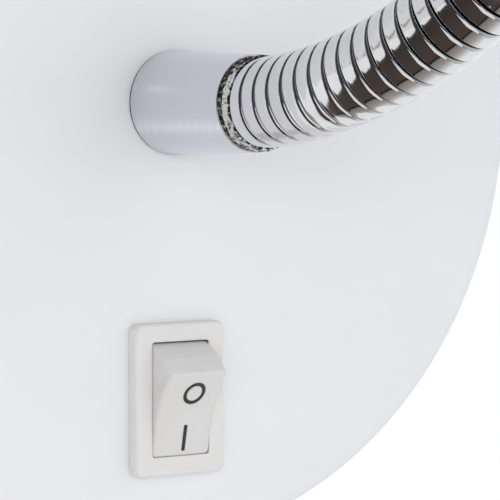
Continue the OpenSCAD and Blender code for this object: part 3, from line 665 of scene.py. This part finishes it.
FOOT_LIFT = 0.02
FOOT_GAP = 0.22
FOOT_TOP = 0.25
FOOT_R = FERRULE_BASE_R - 0.05
STUD_PITCH = 0.75
STUD_THREAD = 0.1
FERRULE_COLS = 160
# Painted highlight on the ferrule: the angle, width and streaking of its light band and patch
BAND_TURN = math.radians(208)
BAND_W = 0.14
PATCH_TURN = math.radians(164)
PATCH_W = 0.08
PATCH_AT = 4.6
PATCH_LEN = 2.6
PATCH_SHARE = 0.8
STREAK_MEAN = 0.72
STREAK_SWING = 0.24
HOLLOW_W = 0.5
HOLLOW_SWING = 0.16
HOLLOW_TURN = math.radians(135)
HOLLOW_EDGE = 0.12
FILM_H = 0.06
LUMP_H = 0.05
PIT_H = 0.02
BEAD_H = 0.18
BEAD_FADE = 0.6
SEAM_CLEAR = 0.02
LEFT_FROM = 125
BELOW_FROM = 215
BARE_TO = 330
BARE_FLUX = 0.26
BARE_STRIP = 0.48
BARE_BELOW = 0.46
BARE_LUMPS = 0.14
DRIFT_START = 0.5
DRIFT_LEN = 1.1


def ferrule_profile():
    """Outline of a ferrule from its stud to its mouth, with small thread ridges on the stud and a
    shadow gap under its foot."""
    ridge = np.linspace(-STUD_LEN + 0.5, -4.5, 61)
    thread = np.stack([STUD_R - STUD_THREAD - STUD_THREAD * np.cos(ridge * TURN / STUD_PITCH), ridge], 1)
    steps = 5
    body = rounded(
        [[STUD_R, FOOT_LIFT], [FOOT_R, FOOT_LIFT], [FOOT_R, FOOT_GAP], [FERRULE_BASE_R, FOOT_TOP],
         [FERRULE_MOUTH_R, FERRULE_LEN], [SOCKET_R, FERRULE_LEN], [SOCKET_R, SOCKET_FLOOR],
         [STUD_BORE_R, SOCKET_FLOOR], [STUD_BORE_R, -STUD_LEN], [STUD_R, -STUD_LEN]],
        [0.005, 0.01, 0.01, 0.02, 0.1, 0.08, 0.1, 0.1, 0.1, 0.2], steps)
    foot = 4 * (steps + 1)
    flank = body[foot - 1] + (body[foot] - body[foot - 1]) * np.linspace(0, 1, 60)[1:-1, None]
    return np.concatenate([body[:foot], flank, body[foot:], thread])


def ferrule_masks(outline):
    """Masks of a ferrule's painted light: painted shade, dark under the foot, and a painted highlight, a
    streaked band along the whole flank and a short patch beside it."""
    height = outline[:, 1:]
    around = turns(FERRULE_COLS)
    # painted shade: near black at the foot, where the ferrule meets the plate
    seam = ((height < FOOT_TOP - 0.015) & (height > -1)).astype(float)
    streaks = STREAK_MEAN + STREAK_SWING * ripple(around, height * 0.6, seed=5, waves=22, top=20)
    # painted highlight: a light band at one fixed angle round the ferrule, streaked along its length
    polish = np.exp(-((around - BAND_TURN) / BAND_W) ** 2) * np.clip(streaks, 0, 1)
    patch = np.exp(-((around - PATCH_TURN) / PATCH_W) ** 2 - ((height - PATCH_AT) / PATCH_LEN) ** 2)
    return {"seam": seam, "polish": np.clip(polish + PATCH_SHARE * streaks * patch, 0, 1)}


def braze_grid(place, seed, drift, cols=320):
    """Brazed seam: a low hollow beside the mouth, then a lumped and pitted bead that thins out on the hose
    and drifts aside with it. The mask is how bare the metal is: bright on the bead's left, broken below."""
    turn = turns(cols)
    run = np.linspace(0.02, BRAZE_W, 36)[:, None]
    lumps = ripple(turn, run * 2, seed, waves=24, top=30)
    pits = ripple(turn, run * 3, seed + 1, waves=30, top=80)
    width = HOLLOW_W + HOLLOW_SWING * np.cos(turn - HOLLOW_TURN) + LUMP_H * lumps
    bead = np.clip((run - width) / HOLLOW_EDGE, 0, 1)
    thin = np.sqrt(np.clip((BRAZE_W + 0.01 - run) / BEAD_FADE, 0, 1))
    fullness = 0.75 - 0.25 * np.sin(turn)
    bulge = FILM_H + bead * (BEAD_H * fullness + LUMP_H * lumps) + PIT_H * pits
    outer = NECK_R + 2 * SEAM_CLEAR + thin * bulge
    outer = np.clip(outer, NECK_R + 0.035, FERRULE_MOUTH_R + 0.03)
    inner = NECK_R + SEAM_CLEAR + 0 * turn
    radius = np.concatenate([inner, outer, inner])
    height = np.concatenate([run[:1], run, run[-1:]]) + FERRULE_LEN + 0 * radius
    around = np.degrees(turn)
    left, below = (np.clip((around - start) / 25, 0, 1) * np.clip((BARE_TO - around) / 40, 0, 1)
                   for start in (LEFT_FROM, BELOW_FROM))
    strip = bead * np.clip((BRAZE_W - 0.06 - run) / 0.1, 0, 1)
    bare = (1 - below) * (BARE_FLUX + BARE_STRIP * left * strip) + below * BARE_BELOW + BARE_LUMPS * lumps
    bare = np.concatenate([bare[:1], bare, bare[-1:]])
    aside = drift * np.clip((height - FERRULE_LEN - DRIFT_START) / DRIFT_LEN, 0, 1)
    x = radius * np.cos(turn) + aside * math.sin(NECK_LEAN)
    y = radius * np.sin(turn) + aside * math.cos(NECK_LEAN)
    return place(x, y, height), bare


def at_plate(x, y, z):
    """Frame of the lower ferrule: z from the plate's face."""
    return wall_place(x, y, z + PLATE_DEPTH)


def at_shade(x, y, z):
    """Frame of the upper ferrule: z back along the neck from the shade."""
    return head_place(x, -y, SOCKET_FLOOR - z)


for name, place, body, seed, drift in (
        ("", at_plate, "base", 7, 0.14),
        ("head_", at_shade, "lamp_head", 19, 0.0)):
    outline = ferrule_profile()
    sleeve = skin(name + "ferrule_sleeve", turned(outline, place, FERRULE_COLS), chrome, wrap=True,
                  masks=ferrule_masks(outline))
    dress(sleeve, body, "chrome", name + "ferrule")
    grid, bare = braze_grid(place, seed, drift)
    bead = skin(name + "braze_bead", grid, braze, wrap=True, masks={"bare": bare}, sharp=60)
    dress(bead, body, "braze", name + "braze_ring")


# Neck

RIB_PITCH = 1.99
RIB_START = 0.26
RIBS = 140
RIB_GAP = 0.34
RIB_DEPTH = 0.6
RIB_KNOTS = (0, 0.3, 1.1, 1.6)
RIB_TILTS = (6, 0, 2, 82)
RIB_STEPS = (6, 6, 13)
LIP_R = 0.03
# Painted shade in the hose's grooves: where it starts below the band's top, and how fast it grows
DARK_FROM = 0.18
DARK_FADE = 0.15
LEAD_TAPER = 0.2
BEND_REACH = 19.0


def rib_section():
    """One pitch of the hose, from groove to groove: run, radius and groove mask. The band's tilt changes
    evenly along each stretch: a shallow lip, a nearly flat middle and a round shoulder down to the wall."""
    low, high = RIB_GAP / 2, RIB_PITCH - RIB_GAP / 2
    floor = NECK_R - RIB_DEPTH
    rise = np.linspace(-math.pi / 2, 0, 6)
    lip_s, lip_r = low + LIP_R * (1 + np.sin(rise)), NECK_R - LIP_R * (1 - np.cos(rise))
    parts = [np.linspace(a, b, n) for a, b, n in zip(RIB_KNOTS, RIB_KNOTS[1:], RIB_STEPS)]
    stretch = np.concatenate([parts[0][:1]] + [part[1:] for part in parts])
    tilt = np.radians(np.interp(stretch, RIB_KNOTS, RIB_TILTS))
    step, mean = np.diff(stretch), (tilt[1:] + tilt[:-1]) / 2
    band_s, band_r = np.cumsum(step * np.cos(mean)), np.cumsum(step * np.sin(mean))
    band_s = lip_s[-1] + band_s * (high - lip_s[-1]) / band_s[-1]
    s = np.concatenate([[0, low], lip_s, band_s, [high]])
    r = np.concatenate([[floor, floor], lip_r, NECK_R - band_r, [floor]])
    # painted shade: the mask rises where the band falls below its top, darkening the groove's colour
    groove = np.clip((NECK_R - DARK_FROM - r) / DARK_FADE, 0, 1)
    return s, r, groove


def neck_grid(first, last, cols=80):
    """Hose from rib first to rib last: the rib section repeated along the neck's line, then the bore."""
    s, r, groove = rib_section()
    ribs = np.arange(first, last)[:, None]
    run = RIB_START + np.append((ribs * RIB_PITCH + s).ravel(), last * RIB_PITCH)
    radius = np.append(np.tile(r, last - first), r[0])
    mask = np.append(np.tile(groove, last - first), 1)
    bore = np.linspace(run[-1], run[0], 2 * (last - first))
    run = np.concatenate([run, bore])[:, None]
    radius = np.concatenate([radius, 0 * bore + NECK_BORE_R])[:, None]
    mask = np.concatenate([mask, 0 * bore + 1])[:, None]
    turn = turns(cols)
    return neck_place(run + 0 * turn, radius, turn), mask


def neck_lead_grid(first, last, cols=28):
    """Round lead in the neck from run first to run last, with a narrower loop on each end face."""
    run = np.linspace(first, last, max(int(last - first), 4))
    run = np.concatenate([[first], run, [last]])[:, None]
    radius = np.full(len(run), NECK_LEAD_R)[:, None]
    radius[[0, -1]] = NECK_LEAD_R - LEAD_TAPER
    turn = turns(cols)
    return neck_place(run + 0 * turn, radius + 0 * turn, turn)


def along_neck(piece, k, kind):
    """The piece lies across joint k, between the two links that meet there. Its place is baked into its
    points, and the node of its kind numbered k is hidden, at the last joint the last one as well.
    """
    ends = neck_place(LINK_LEN * k + np.array([-BEND_REACH, BEND_REACH]), np.zeros(2), np.zeros(2))
    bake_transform(piece)
    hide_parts(f"{kind}_{k}", *([f"{kind}_{LINKS}"] if k == LINKS - 1 else []))


middles = [LINK_LEN * (k + 0.5) for k in range(1, LINKS - 1)]
rib_cuts = [0] + [round((s - RIB_START) / RIB_PITCH) for s in middles] + [RIBS]
lead_cuts = [LEAD_START] + middles + [NECK_LEN + LEAD_END]
for k in range(1, LINKS):
    grid, mask = neck_grid(rib_cuts[k - 1], rib_cuts[k])
    tube = skin(f"neck_hose_{k}", grid, hose, wrap=True, masks={"groove": mask}, sharp=50)
    along_neck(tube, k, "neck_link")
    cable = skin(f"neck_cable_{k}", neck_lead_grid(lead_cuts[k - 1], lead_cuts[k]), finishes["lead_white"])
    along_neck(cable, k, "neck_lead")


# Switch

BEZEL_SOFT = 0.45
BEZEL_CORNER_R = 0.8
BEZEL_LIFT = 0.02
OPENING_ROUND = 0.12
CHAMBER_FLOOR = 1.2
CHAMBER_SHADE = 0.1
ROCKER_SHADE = 0.08
ROCKER_SIDE = np.radians([-7.4, 6.0, 20.0])
ROCKER_ROUNDS = (0.2, 3.0, 3.0, 0.34, FACE_BEND_R, 0.34, 3.0, 3.0, 0.2)
ROCKER_CHEEK = 0.45
MARK_T = 0.022
MARK_SUNK = 0.03


def switch_grid():
    """Housing as loops of round boxes, from the chamber's floor up its walls, over the bezel's
    face and round its edge, under it, down the body and across the back. Each row is a box's
    width, height, corner radius and distance from the wall."""
    face = PLATE_DEPTH + BEZEL_T
    back = PLATE_DEPTH - BODY_DEPTH
    floor = back + CHAMBER_FLOOR
    under = PLATE_DEPTH + BEZEL_LIFT
    rows = [(0.6, 5.8, 0.2, floor), (CHAMBER_W - 0.2, CHAMBER_H - 0.2, 0.2, floor),
            (CHAMBER_W, CHAMBER_H, 0.3, floor + 0.2), (CHAMBER_W, CHAMBER_H, 0.3, face - 0.5),
            (OPENING_W, OPENING_H, 0.3, face - 0.3)]
    chamber = len(rows)
    for a in np.linspace(0, math.pi / 2, 4):
        wider = 2 * OPENING_ROUND * (1 - math.cos(a))
        rows.append((OPENING_W + wider, OPENING_H + wider, 0.3, face - OPENING_ROUND * (1 - math.sin(a))))
    rows.append((OPENING_W + 0.6, OPENING_H + 0.6, 0.4, face))
    for a in np.linspace(0, math.pi / 2, 10):
        less = 2 * BEZEL_SOFT * (1 - math.sin(a))
        corner = BEZEL_CORNER_R - 0.35 * (1 - math.sin(a))
        rows.append((BEZEL_W - less, BEZEL_H - less, corner, face - BEZEL_SOFT * (1 - math.cos(a))))
    rows += [(BEZEL_W, BEZEL_H, BEZEL_CORNER_R, PLATE_DEPTH + 0.12),
             (BEZEL_W - 0.16, BEZEL_H - 0.16, 0.75, under),
             (BODY_W, BODY_H, 0.3, under), (BODY_W, BODY_H, 0.3, back + 0.3),
             (BODY_W - 0.1, BODY_H - 0.1, 0.3, back + 0.08),
             (BODY_W - 0.4, BODY_H - 0.4, 0.25, back), (0.6, 5.7, 0.2, back)]
    loops = []
    for w, h, r, z in rows:
        x, y = round_box(w, h, r, 8)
        lift = OPENING_LIFT if OPENING_H <= h < CHAMBER_H - 0.2 else 0
        loops.append(switch_place(x, y + lift, np.full(len(x), z)))
    shade = np.zeros((len(rows), len(x)))
    shade[:chamber] = CHAMBER_SHADE
    return np.array(loops), shade


def rocker_grid():
    """Rocker: its rounded side outline carried across its width, drawn in round at both cheeks."""
    end_z = ROCKER_MID + ROCKER_HALF * math.tan(ROCKER_SLOPE)
    wall = ROCKER_R * np.stack([np.cos(ROCKER_SIDE), np.sin(ROCKER_SIDE)], 1)
    face = [[ROCKER_HALF, end_z], [0, ROCKER_MID], [-ROCKER_HALF, end_z]]
    outline = rounded(np.concatenate([wall, face, wall[::-1] * (-1, 1)]), ROCKER_ROUNDS, 8)
    ahead = np.roll(outline, -1, 0) - np.roll(outline, 1, 0)
    inward = np.stack([-ahead[:, 1], ahead[:, 0]], 1) / np.linalg.norm(ahead, axis=1)[:, None]
    arc = np.linspace(0, math.pi / 2, 9)
    drawn = ROCKER_CHEEK * (1 - np.sin(arc))
    inset = np.concatenate([drawn, [0, 0], drawn[::-1]])
    edge = ROCKER_W / 2 - ROCKER_CHEEK * (1 - np.cos(arc))
    x = np.concatenate([edge, [1.2, -1.2], -edge[::-1]])
    yz = outline[None] + inward[None] * inset[:, None, None]
    return rocker_place(x[:, None] + 0 * yz[..., 0], yz[..., 0], yz[..., 1])


def face_place(x, along, lift):
    """Points on the rocker's face: across, along from its middle, and lift off the face."""
    away = np.abs(along)
    centre = ROCKER_MID + FACE_BEND_R / math.cos(ROCKER_SLOPE)
    bowl = centre - np.sqrt(np.maximum(FACE_BEND_R ** 2 - away ** 2, 0))
    flat = ROCKER_MID + away * math.tan(ROCKER_SLOPE)
    return rocker_place(x, along, np.where(away < FACE_BEND_R * math.sin(ROCKER_SLOPE), bowl, flat) + lift)


def ring_mark(across, centre, r, half_w, cols=96):
    """Printed ring: a low rounded ridge carried round a circle on the rocker's face."""
    outer, inner = r + half_w, r - half_w
    section = rounded([[outer, -MARK_SUNK], [outer, MARK_T], [inner, MARK_T], [inner, -MARK_SUNK]], 0.02, 3)
    d, z = section.T[:, :, None]
    turn = turns(cols)
    return face_place(across + d * np.cos(turn), centre + d * np.sin(turn), z + 0 * turn)


def bar_mark(across, centre, length, half_w):
    """Printed bar: a low slab with rounded ends on the rocker's face."""
    x, y = round_box(2 * half_w, length, 0.08, 5)
    share = np.array([1.0, 1.0, 0.9, 0.3])[:, None]
    lift = np.array([-MARK_SUNK, MARK_T - 0.012, MARK_T, MARK_T])[:, None]
    return face_place(across + x * share, centre + y * (1 - (1 - share) * half_w / length), lift + 0 * x)


bezel, shaded = switch_grid()
housing = skin("switch_bezel", bezel, plastic, masks={"shaded": shaded})
dress(housing, "base", "switch_white", "switch_housing")
rocker = skin("rocker_cap", rocker_grid(), plastic, masks={"shaded": ROCKER_SHADE})
dress(rocker, "rocker", "switch_white", "switch_rocker")
ring = ring_mark(across=0.18, centre=2.17, r=1.09, half_w=0.21)
off_mark = skin("off_ring", ring, print_black, wrap=True)
dress(off_mark, "rocker", "switch_white")
bar = bar_mark(across=0.13, centre=-2.79, length=2.7, half_w=0.215)
on_mark = skin("on_bar", bar, print_black)
dress(on_mark, "rocker", "switch_white")


# Leads and the plunger's spring

CORD_COLS = 24
STRIPES = 2
STRIPE_SHARP = 4
STRIPE_CUT = 1.1
COIL_R = 0.8
COIL_WIRE_R = 0.15
COIL_TURNS = 4
COIL_FOOT = -0.8


def strand(route, steps=10):
    """Smooth line through points: each stretch is a cubic whose ends run along their neighbours."""
    p = np.array(route, float)
    p = np.concatenate([p[:1], p, p[-1:]])
    t = np.linspace(0, 1, steps, endpoint=False)[:, None]
    parts = [(2 * b + (c - a) * t + (2 * a - 5 * b + 4 * c - d) * t ** 2
              + (3 * b - a - 3 * c + d) * t ** 3) / 2
             for a, b, c, d in zip(p, p[1:], p[2:], p[3:])]
    return np.concatenate([*parts, p[-1:]])


def cord(line, r, place, cols=CORD_COLS):
    """Round cord: a circle carried along a line, its frame turned as little as the line lets it."""
    ahead = np.gradient(line, axis=0)
    ahead /= np.linalg.norm(ahead, axis=1)[:, None]
    side = np.zeros_like(line)
    last = np.cross(ahead[0], (0.31, 0.52, 0.8))
    for k, way in enumerate(ahead):
        last = last - way * (last @ way)
        last = last / np.linalg.norm(last)
        side[k] = last
    other = np.cross(ahead, side)
    turn = turns(cols)[..., None]
    points = line[:, None] + r * (np.cos(turn) * side[:, None] + np.sin(turn) * other[:, None])
    return place(points[..., 0], points[..., 1], points[..., 2])


inner_leads = (
    ("live_wire", "live_lead", "lead_brown",
     [(11, -6.5, 6.2), (11, -10, 6.2), (11, -13, 3.4), (8, -18.9, 1.6), (2.4, -26.4, 1.2), (0.24, -30, 2.5),
      (0, -30, 4.4), (0, -30, 6.6)]),
    ("switched_wire", "switched_lead", "lead_brown",
     [(0, -26.3, 6.6), (0, -26.3, 4.6), (-0.3, -25.9, 2.84), (-2.04, -22.5, 1.8), (-3.96, -15.9, 3.0),
      (-3.36, -8.1, 6.6), (-0.85, -1.2, 9.0), (-0.65, 0, 10.9), (-0.65, 0, 11.9)]),
    ("neutral_wire", "neutral_lead", "lead_blue",
     [(0.65, 0, 11.9), (0.65, 0, 10.9), (0.85, -1.2, 9.0), (4, -7.0, 7.8), (9.04, -11.9, 8.0),
      (14, -14.45, 7.4), (17, -13, 6.2), (17, -10, 6.2), (17, -6.5, 6.2)]),
    ("earth_wire", "earth_lead", "lead_earth",
     [(23, 6.5, 6.2), (23, 10, 6.2), (19.1, 13.4, 5.4), (8, 14.6, 4.4), (-4.06, 14.6, 3.4),
      (-11.06, 13.6, 2.6), (-14, 11.05, 2.6), (-14, 9, 2.6), (-14, 4.9, 2.6)]),
)
stripe = np.clip(STRIPE_SHARP * np.cos(STRIPES * turns(CORD_COLS)) - STRIPE_CUT, 0, 1)
for name, node, slot, route in inner_leads:
    wire = skin(name, cord(strand(route), LEAD_R, wall_place), finishes[slot], masks={"stripe": stripe})
    dress(wire, "base", slot, node)
holder_route = [(0.65, 0, 16.5), (0.8, 0, 17.4), (1.65, 0, 18.8), (2.5, 0, 20.2), (2.6, 0, 21.2),
                (2.6, 0, 22.45)]
for side_name, side in (("left", -1), ("right", 1)):
    route = np.array(holder_route) * (side, 1, 1)
    wire = skin(f"holder_wire_{side_name}", cord(strand(route), LEAD_R, head_place), finishes["lead_white"])
    dress(wire, "lamp_head", "lead_white", "holder_leads")

coil = np.linspace(0, COIL_TURNS * TURN, 161)
climb = COIL_FOOT + SPRING_RISE * coil / coil[-1]
helix = np.stack([COIL_R * np.cos(coil), COIL_R * np.sin(coil), climb], 1)
spring = skin("plunger_coil", cord(helix, COIL_WIRE_R, rocker_place, 12), finishes["zinc"])
dress(spring, "rocker", "zinc", "plunger_spring")


# Shade and bulb

FLARE_EVEN = 0.6
HOLE_CLEAR = 0.15
BULB_BEND_R = 4.0


def shade_profile():
    """Spun shade: a round shoulder, a flare that slows to the mouth, a rolled lip, and the inside."""
    t = np.linspace(0, 1, 40)
    opening = FLARE_EVEN * t + (1 - FLARE_EVEN) * np.sin(t * math.pi / 2)
    flare = SHADE_BACK_R + (SHADE_R - SHADE_BACK_R) * opening
    flare_z = SOCKET_FLOOR + SHADE_SHOULDER + (SHADE_LEN - SHADE_SHOULDER) * t
    arc = np.radians(np.linspace(-90, -8, 16))
    centre_r, centre_z = SHADE_BACK_R - SHADE_SHOULDER, SOCKET_FLOOR + SHADE_SHOULDER

    def shoulder(inset):
        bow = SHADE_SHOULDER - inset
        return np.stack([centre_r + bow * np.cos(arc), centre_z + bow * np.sin(arc)], 1)

    hole = STUD_R + HOLE_CLEAR
    back = np.array([[hole, SOCKET_FLOOR], [hole + 0.4, SOCKET_FLOOR]])
    lip = np.radians(np.linspace(20, 160, 9))
    half = SHADE_WALL / 2
    rim = np.stack([SHADE_R - half + half * np.cos(lip),
                    SOCKET_FLOOR + SHADE_LEN - half + half * np.sin(lip)], 1)
    outside = np.stack([flare, flare_z], 1)[1:-1]
    inside = np.stack([flare - SHADE_WALL, flare_z], 1)[1:-1][::-1]
    return np.concatenate([back, shoulder(0), outside, rim, inside, shoulder(SHADE_WALL)[::-1],
                           back[::-1] + (0, SHADE_WALL)])


def globe_profile():
    """Bulb: a straight neck, a flare into the round globe, its pole; then the same inside."""
    arc = np.radians(np.linspace(-57.5, 89.5, 48))

    def wall(inset):
        neck = rounded([[GLASS_NECK_R - inset, CAP_TOP - 5], [GLASS_NECK_R - inset, CAP_TOP + 1],
                        [GLASS_NECK_R + 8, CAP_TOP + 9]], [0.01, BULB_BEND_R, 0.01], 8)[1:-1]
        ball = np.stack([(GLOBE_R - inset) * np.cos(arc), GLOBE_Z + (GLOBE_R - inset) * np.sin(arc)], 1)
        return np.concatenate([neck[neck[:, 1] < ball[0, 1] - 0.6], ball])

    return np.concatenate([wall(0), wall(GLASS_T)[::-1]])


hood = skin("shade_hood", turned(shade_profile(), head_place, 192), paint, wrap=True)
dress(hood, "lamp_head", "white_paint", "shade")
globe = skin("bulb_glass", turned(globe_profile(), head_place, 128), finishes["frosted_glass"], wrap=True)
dress(globe, "lamp_head", "frosted_glass", "bulb_globe")


# Stage, light and camera

FLOOR_Z = -0.16
FLOOR_MIDDLE = (0.0, -0.16, FLOOR_Z)
FLOOR_PLAIN_R = 0.2
FLOOR_WHITE_R = 0.68
ROOM_R = 1.6
BACK_R = 1.5
CARD_R = 1.3
WINDOW_R = 0.57
SOFTBOX_AIM = Vector((0.0, -0.03, -0.01))
CAMERA_AIM = Vector((0.00979, -0.025, -0.01527))
CAMERA_TURN = math.radians(-36.25)
CAMERA_RISE = math.radians(3.18)
CAMERA_AWAY = 0.3302
CAMERA_LENS = 230.4


def staged(name, grid, material, camera=False):
    """Sheet of the studio from a grid of points. Without camera it only shows in reflections."""
    rows, cols = grid.shape[:2]
    first = (np.arange(rows - 1)[:, None] * cols + np.arange(cols - 1)[None, :]).ravel()
    mesh = bpy.data.meshes.new(name)
    mesh.from_pydata(grid.reshape(-1, 3).tolist(), [],
                     np.stack([first, first + 1, first + cols + 1, first + cols], 1).tolist())
    mesh.shade_smooth()
    mesh.materials.append(material)
    sheet = show(name, mesh)
    if camera:
        sheet.visible_glossy = False
    else:
        for ray in ("camera", "diffuse", "shadow", "transmission"):
            setattr(sheet, "visible_" + ray, False)


def glow(name, axis, *stops):
    """Light for sheets that only reflections see: colours at places along an axis, in metres."""
    material = bpy.data.materials.new(name)
    material.use_nodes = True
    tree = material.node_tree
    tree.nodes.remove(tree.nodes["Principled BSDF"])
    low, high = stops[0][0], stops[-1][0]
    place = add(tree, "TexCoord")
    axes = add(tree, "SeparateXYZ")
    share = add(tree, "MapRange", From_Min=low, From_Max=high)
    ramp = add(tree, "ValToRGB")
    light = add(tree, "Emission")
    elements = ramp.color_ramp.elements
    for k, (at, colour) in enumerate(stops):
        element = elements[k] if k < 2 else elements.new(1.0)
        element.position = (at - low) / (high - low)
        element.color = (*colour, 1)
    join(tree, (place, "Object", axes, "Vector"), (axes, axis, share, "Value"),
         (share, "Result", ramp, "Fac"), (ramp, "Color", light, "Color"),
         (light, "Emission", tree.nodes["Material Output"], "Surface"))
    return material


def rectangle(xs, ys, z):
    """Level sheet between two sides, a front edge, and a back edge that may run askew."""
    return np.array([[(xs[0], ys[0], z), (xs[1], ys[0], z)], [(xs[0], ys[1], z), (xs[1], ys[2], z)]])


def shell(radius, up, low, high):
    """Part of a sphere round the lamp: at each angle up, from low to high degrees left of straight out."""
    low, high, up = np.broadcast_arrays(low, high, up)
    turn = np.radians(low[:, None] + (high - low)[:, None] * np.linspace(0, 1, 33)[None, :])
    lift = np.radians(up)[:, None] + 0 * turn
    return radius * np.stack([-np.cos(lift) * np.sin(turn), -np.cos(lift) * np.cos(turn), np.sin(lift)], -1)


def fade_to_white(f):
    """Floor that turns into the white background with its distance from the lamp, for the camera alone."""
    tree = f.tree
    place = add(tree, "TexCoord")
    away = add(tree, "VectorMath", "DISTANCE")
    away.inputs[1].default_value = FLOOR_MIDDLE
    share = add(tree, "MapRange", From_Min=FLOOR_PLAIN_R, From_Max=FLOOR_WHITE_R)
    share.interpolation_type = "SMOOTHSTEP"
    path = add(tree, "LightPath")
    seen = add(tree, "Math", "MULTIPLY")
    white = add(tree, "Emission", Color=(1, 1, 1, 1), Strength=1.0)
    blend = add(tree, "MixShader")
    join(tree, (place, "Object", away, 0), (away, "Value", share, "Value"), (share, "Result", seen, 0),
         (path, "Is Camera Ray", seen, 1), (seen, "Value", blend, "Fac"), (f.shader, "BSDF", blend, 1),
         (white, "Emission", blend, 2), (blend, "Shader", tree.nodes["Material Output"], "Surface"))


floor_paint = Finish("pale_floor", Roughness=0.7, Specular_IOR_Level=0.1, Emission_Strength=0.2)
floor_paint.tone((0.86, 0.86, 0.86), (0.88, 0.88, 0.88), scale=8)
fade_to_white(floor_paint)
staged("floor", rectangle((-0.9, 0.9), (-1.1, 0.55, 0.55), FLOOR_Z), floor_paint.material, camera=True)
brown, black, beige = (0.08, 0.06, 0.05), (0.012, 0.011, 0.011), (0.24, 0.22, 0.2)
bright, dim, pane = (0.95, 0.95, 0.95), (0.048, 0.046, 0.048), (0.48, 0.41, 0.35)
dark_floor = glow("dark_floor", "X", (-0.3, (0.055, 0.044, 0.038)), (-0.05, brown), (-0.026, brown),
                  (-0.02, black), (-0.014, black), (-0.008, beige), (0.04, (0.42, 0.39, 0.36)),
                  (0.1, bright))
staged("dark_flag", rectangle((-1.4, 0.1), (-0.14, 0.19, 0.005), FLOOR_Z + 0.01), dark_floor)
up = np.linspace(-65, 88, 34)
over = np.clip(up / 55, 0, 1) ** 2
dark_room = glow("dark_room", "X", (-ROOM_R, dim), (0.15, dim), (0.8, (0.5, 0.5, 0.5)),
                 (ROOM_R, (0.85, 0.85, 0.85)))
grey_back = glow("grey_back", "Y", (-0.12, dim), (0.1, (0.35, 0.35, 0.36)), (0.4, (0.85, 0.85, 0.86)))
staged("dark_room", shell(ROOM_R, up, -70 - 110 * over, 92 + 88 * over), dark_room)
staged("grey_back", shell(BACK_R, np.linspace(-3, 70, 17), 84, 180), grey_back)
for name, grid, tone in (
        ("bright_table", shell(CARD_R, np.linspace(-58, -2, 9), -20, 42), bright),
        ("bright_side", shell(CARD_R, np.linspace(-1, 36, 9), -66, -24), bright),
        ("far_window", shell(WINDOW_R, np.linspace(0, 15, 5), 112, 116.5), pane)):
    staged(name, grid, glow(name, "X", (-1, tone), (1, tone)))

world = bpy.data.worlds.new("studio")
bpy.context.scene.world = world
world.use_nodes = True
sky = world.node_tree
sky.nodes.clear()
path = add(sky, "LightPath")
seen = add(sky, "Math", "MAXIMUM")
shown = add(sky, "Math", "MAXIMUM")
way = add(sky, "TexCoord")
axes = add(sky, "SeparateXYZ")
fall_off = add(sky, "MapRange", From_Min=-0.2, From_Max=0.8, To_Min=0.7, To_Max=0.5)
ambient = add(sky, "Background", Color=(0.96, 0.98, 1.0, 1))
white = add(sky, "Background", Color=(1, 1, 1, 1), Strength=1.0)
blend = add(sky, "MixShader")
out = add(sky, "OutputWorld")
join(sky, (path, "Is Camera Ray", seen, 0), (path, "Is Glossy Ray", seen, 1), (seen, 0, shown, 0),
     (path, "Is Transmission Ray", shown, 1), (way, "Generated", axes, "Vector"),
     (axes, "Z", fall_off, "Value"), (fall_off, "Result", ambient, "Strength"), (shown, 0, blend, "Fac"),
     (ambient, 0, blend, 1), (white, 0, blend, 2), (blend, 0, out, "Surface"))


def stand_at(name, data, place, forward):
    """Lamp or camera at a place, looking along forward."""
    holder = show(name, data)
    holder.location = place
    holder.rotation_mode = "QUATERNION"
    holder.rotation_quaternion = forward.to_track_quat("-Z", "Y")
    return holder


def softbox(name, place, size, power):
    """Square area lamp turned to the plate. Reflections do not show it."""
    lamp = bpy.data.lights.new(name, "AREA")
    lamp.size = size
    lamp.energy = power
    stand_at(name, lamp, place, SOFTBOX_AIM - Vector(place)).visible_glossy = False


softbox("front_softbox", place=(-0.5, -0.85, -0.08), size=0.9, power=5.6)
softbox("side_softbox", place=(0.7, -0.75, 0.4), size=1.1, power=1.9)

camera = bpy.data.cameras.new("photo_camera")
camera.sensor_width = 36.0
camera.lens = CAMERA_LENS
camera.clip_start = 0.01
camera.clip_end = 20.0
level = math.cos(CAMERA_RISE)
forward = Vector((-math.sin(CAMERA_TURN) * level, math.cos(CAMERA_TURN) * level, -math.sin(CAMERA_RISE)))
stand = stand_at("photo_camera", camera, CAMERA_AIM - CAMERA_AWAY * forward, forward)
bpy.context.scene.camera = stand
bpy.context.scene.view_settings.view_transform = "Standard"
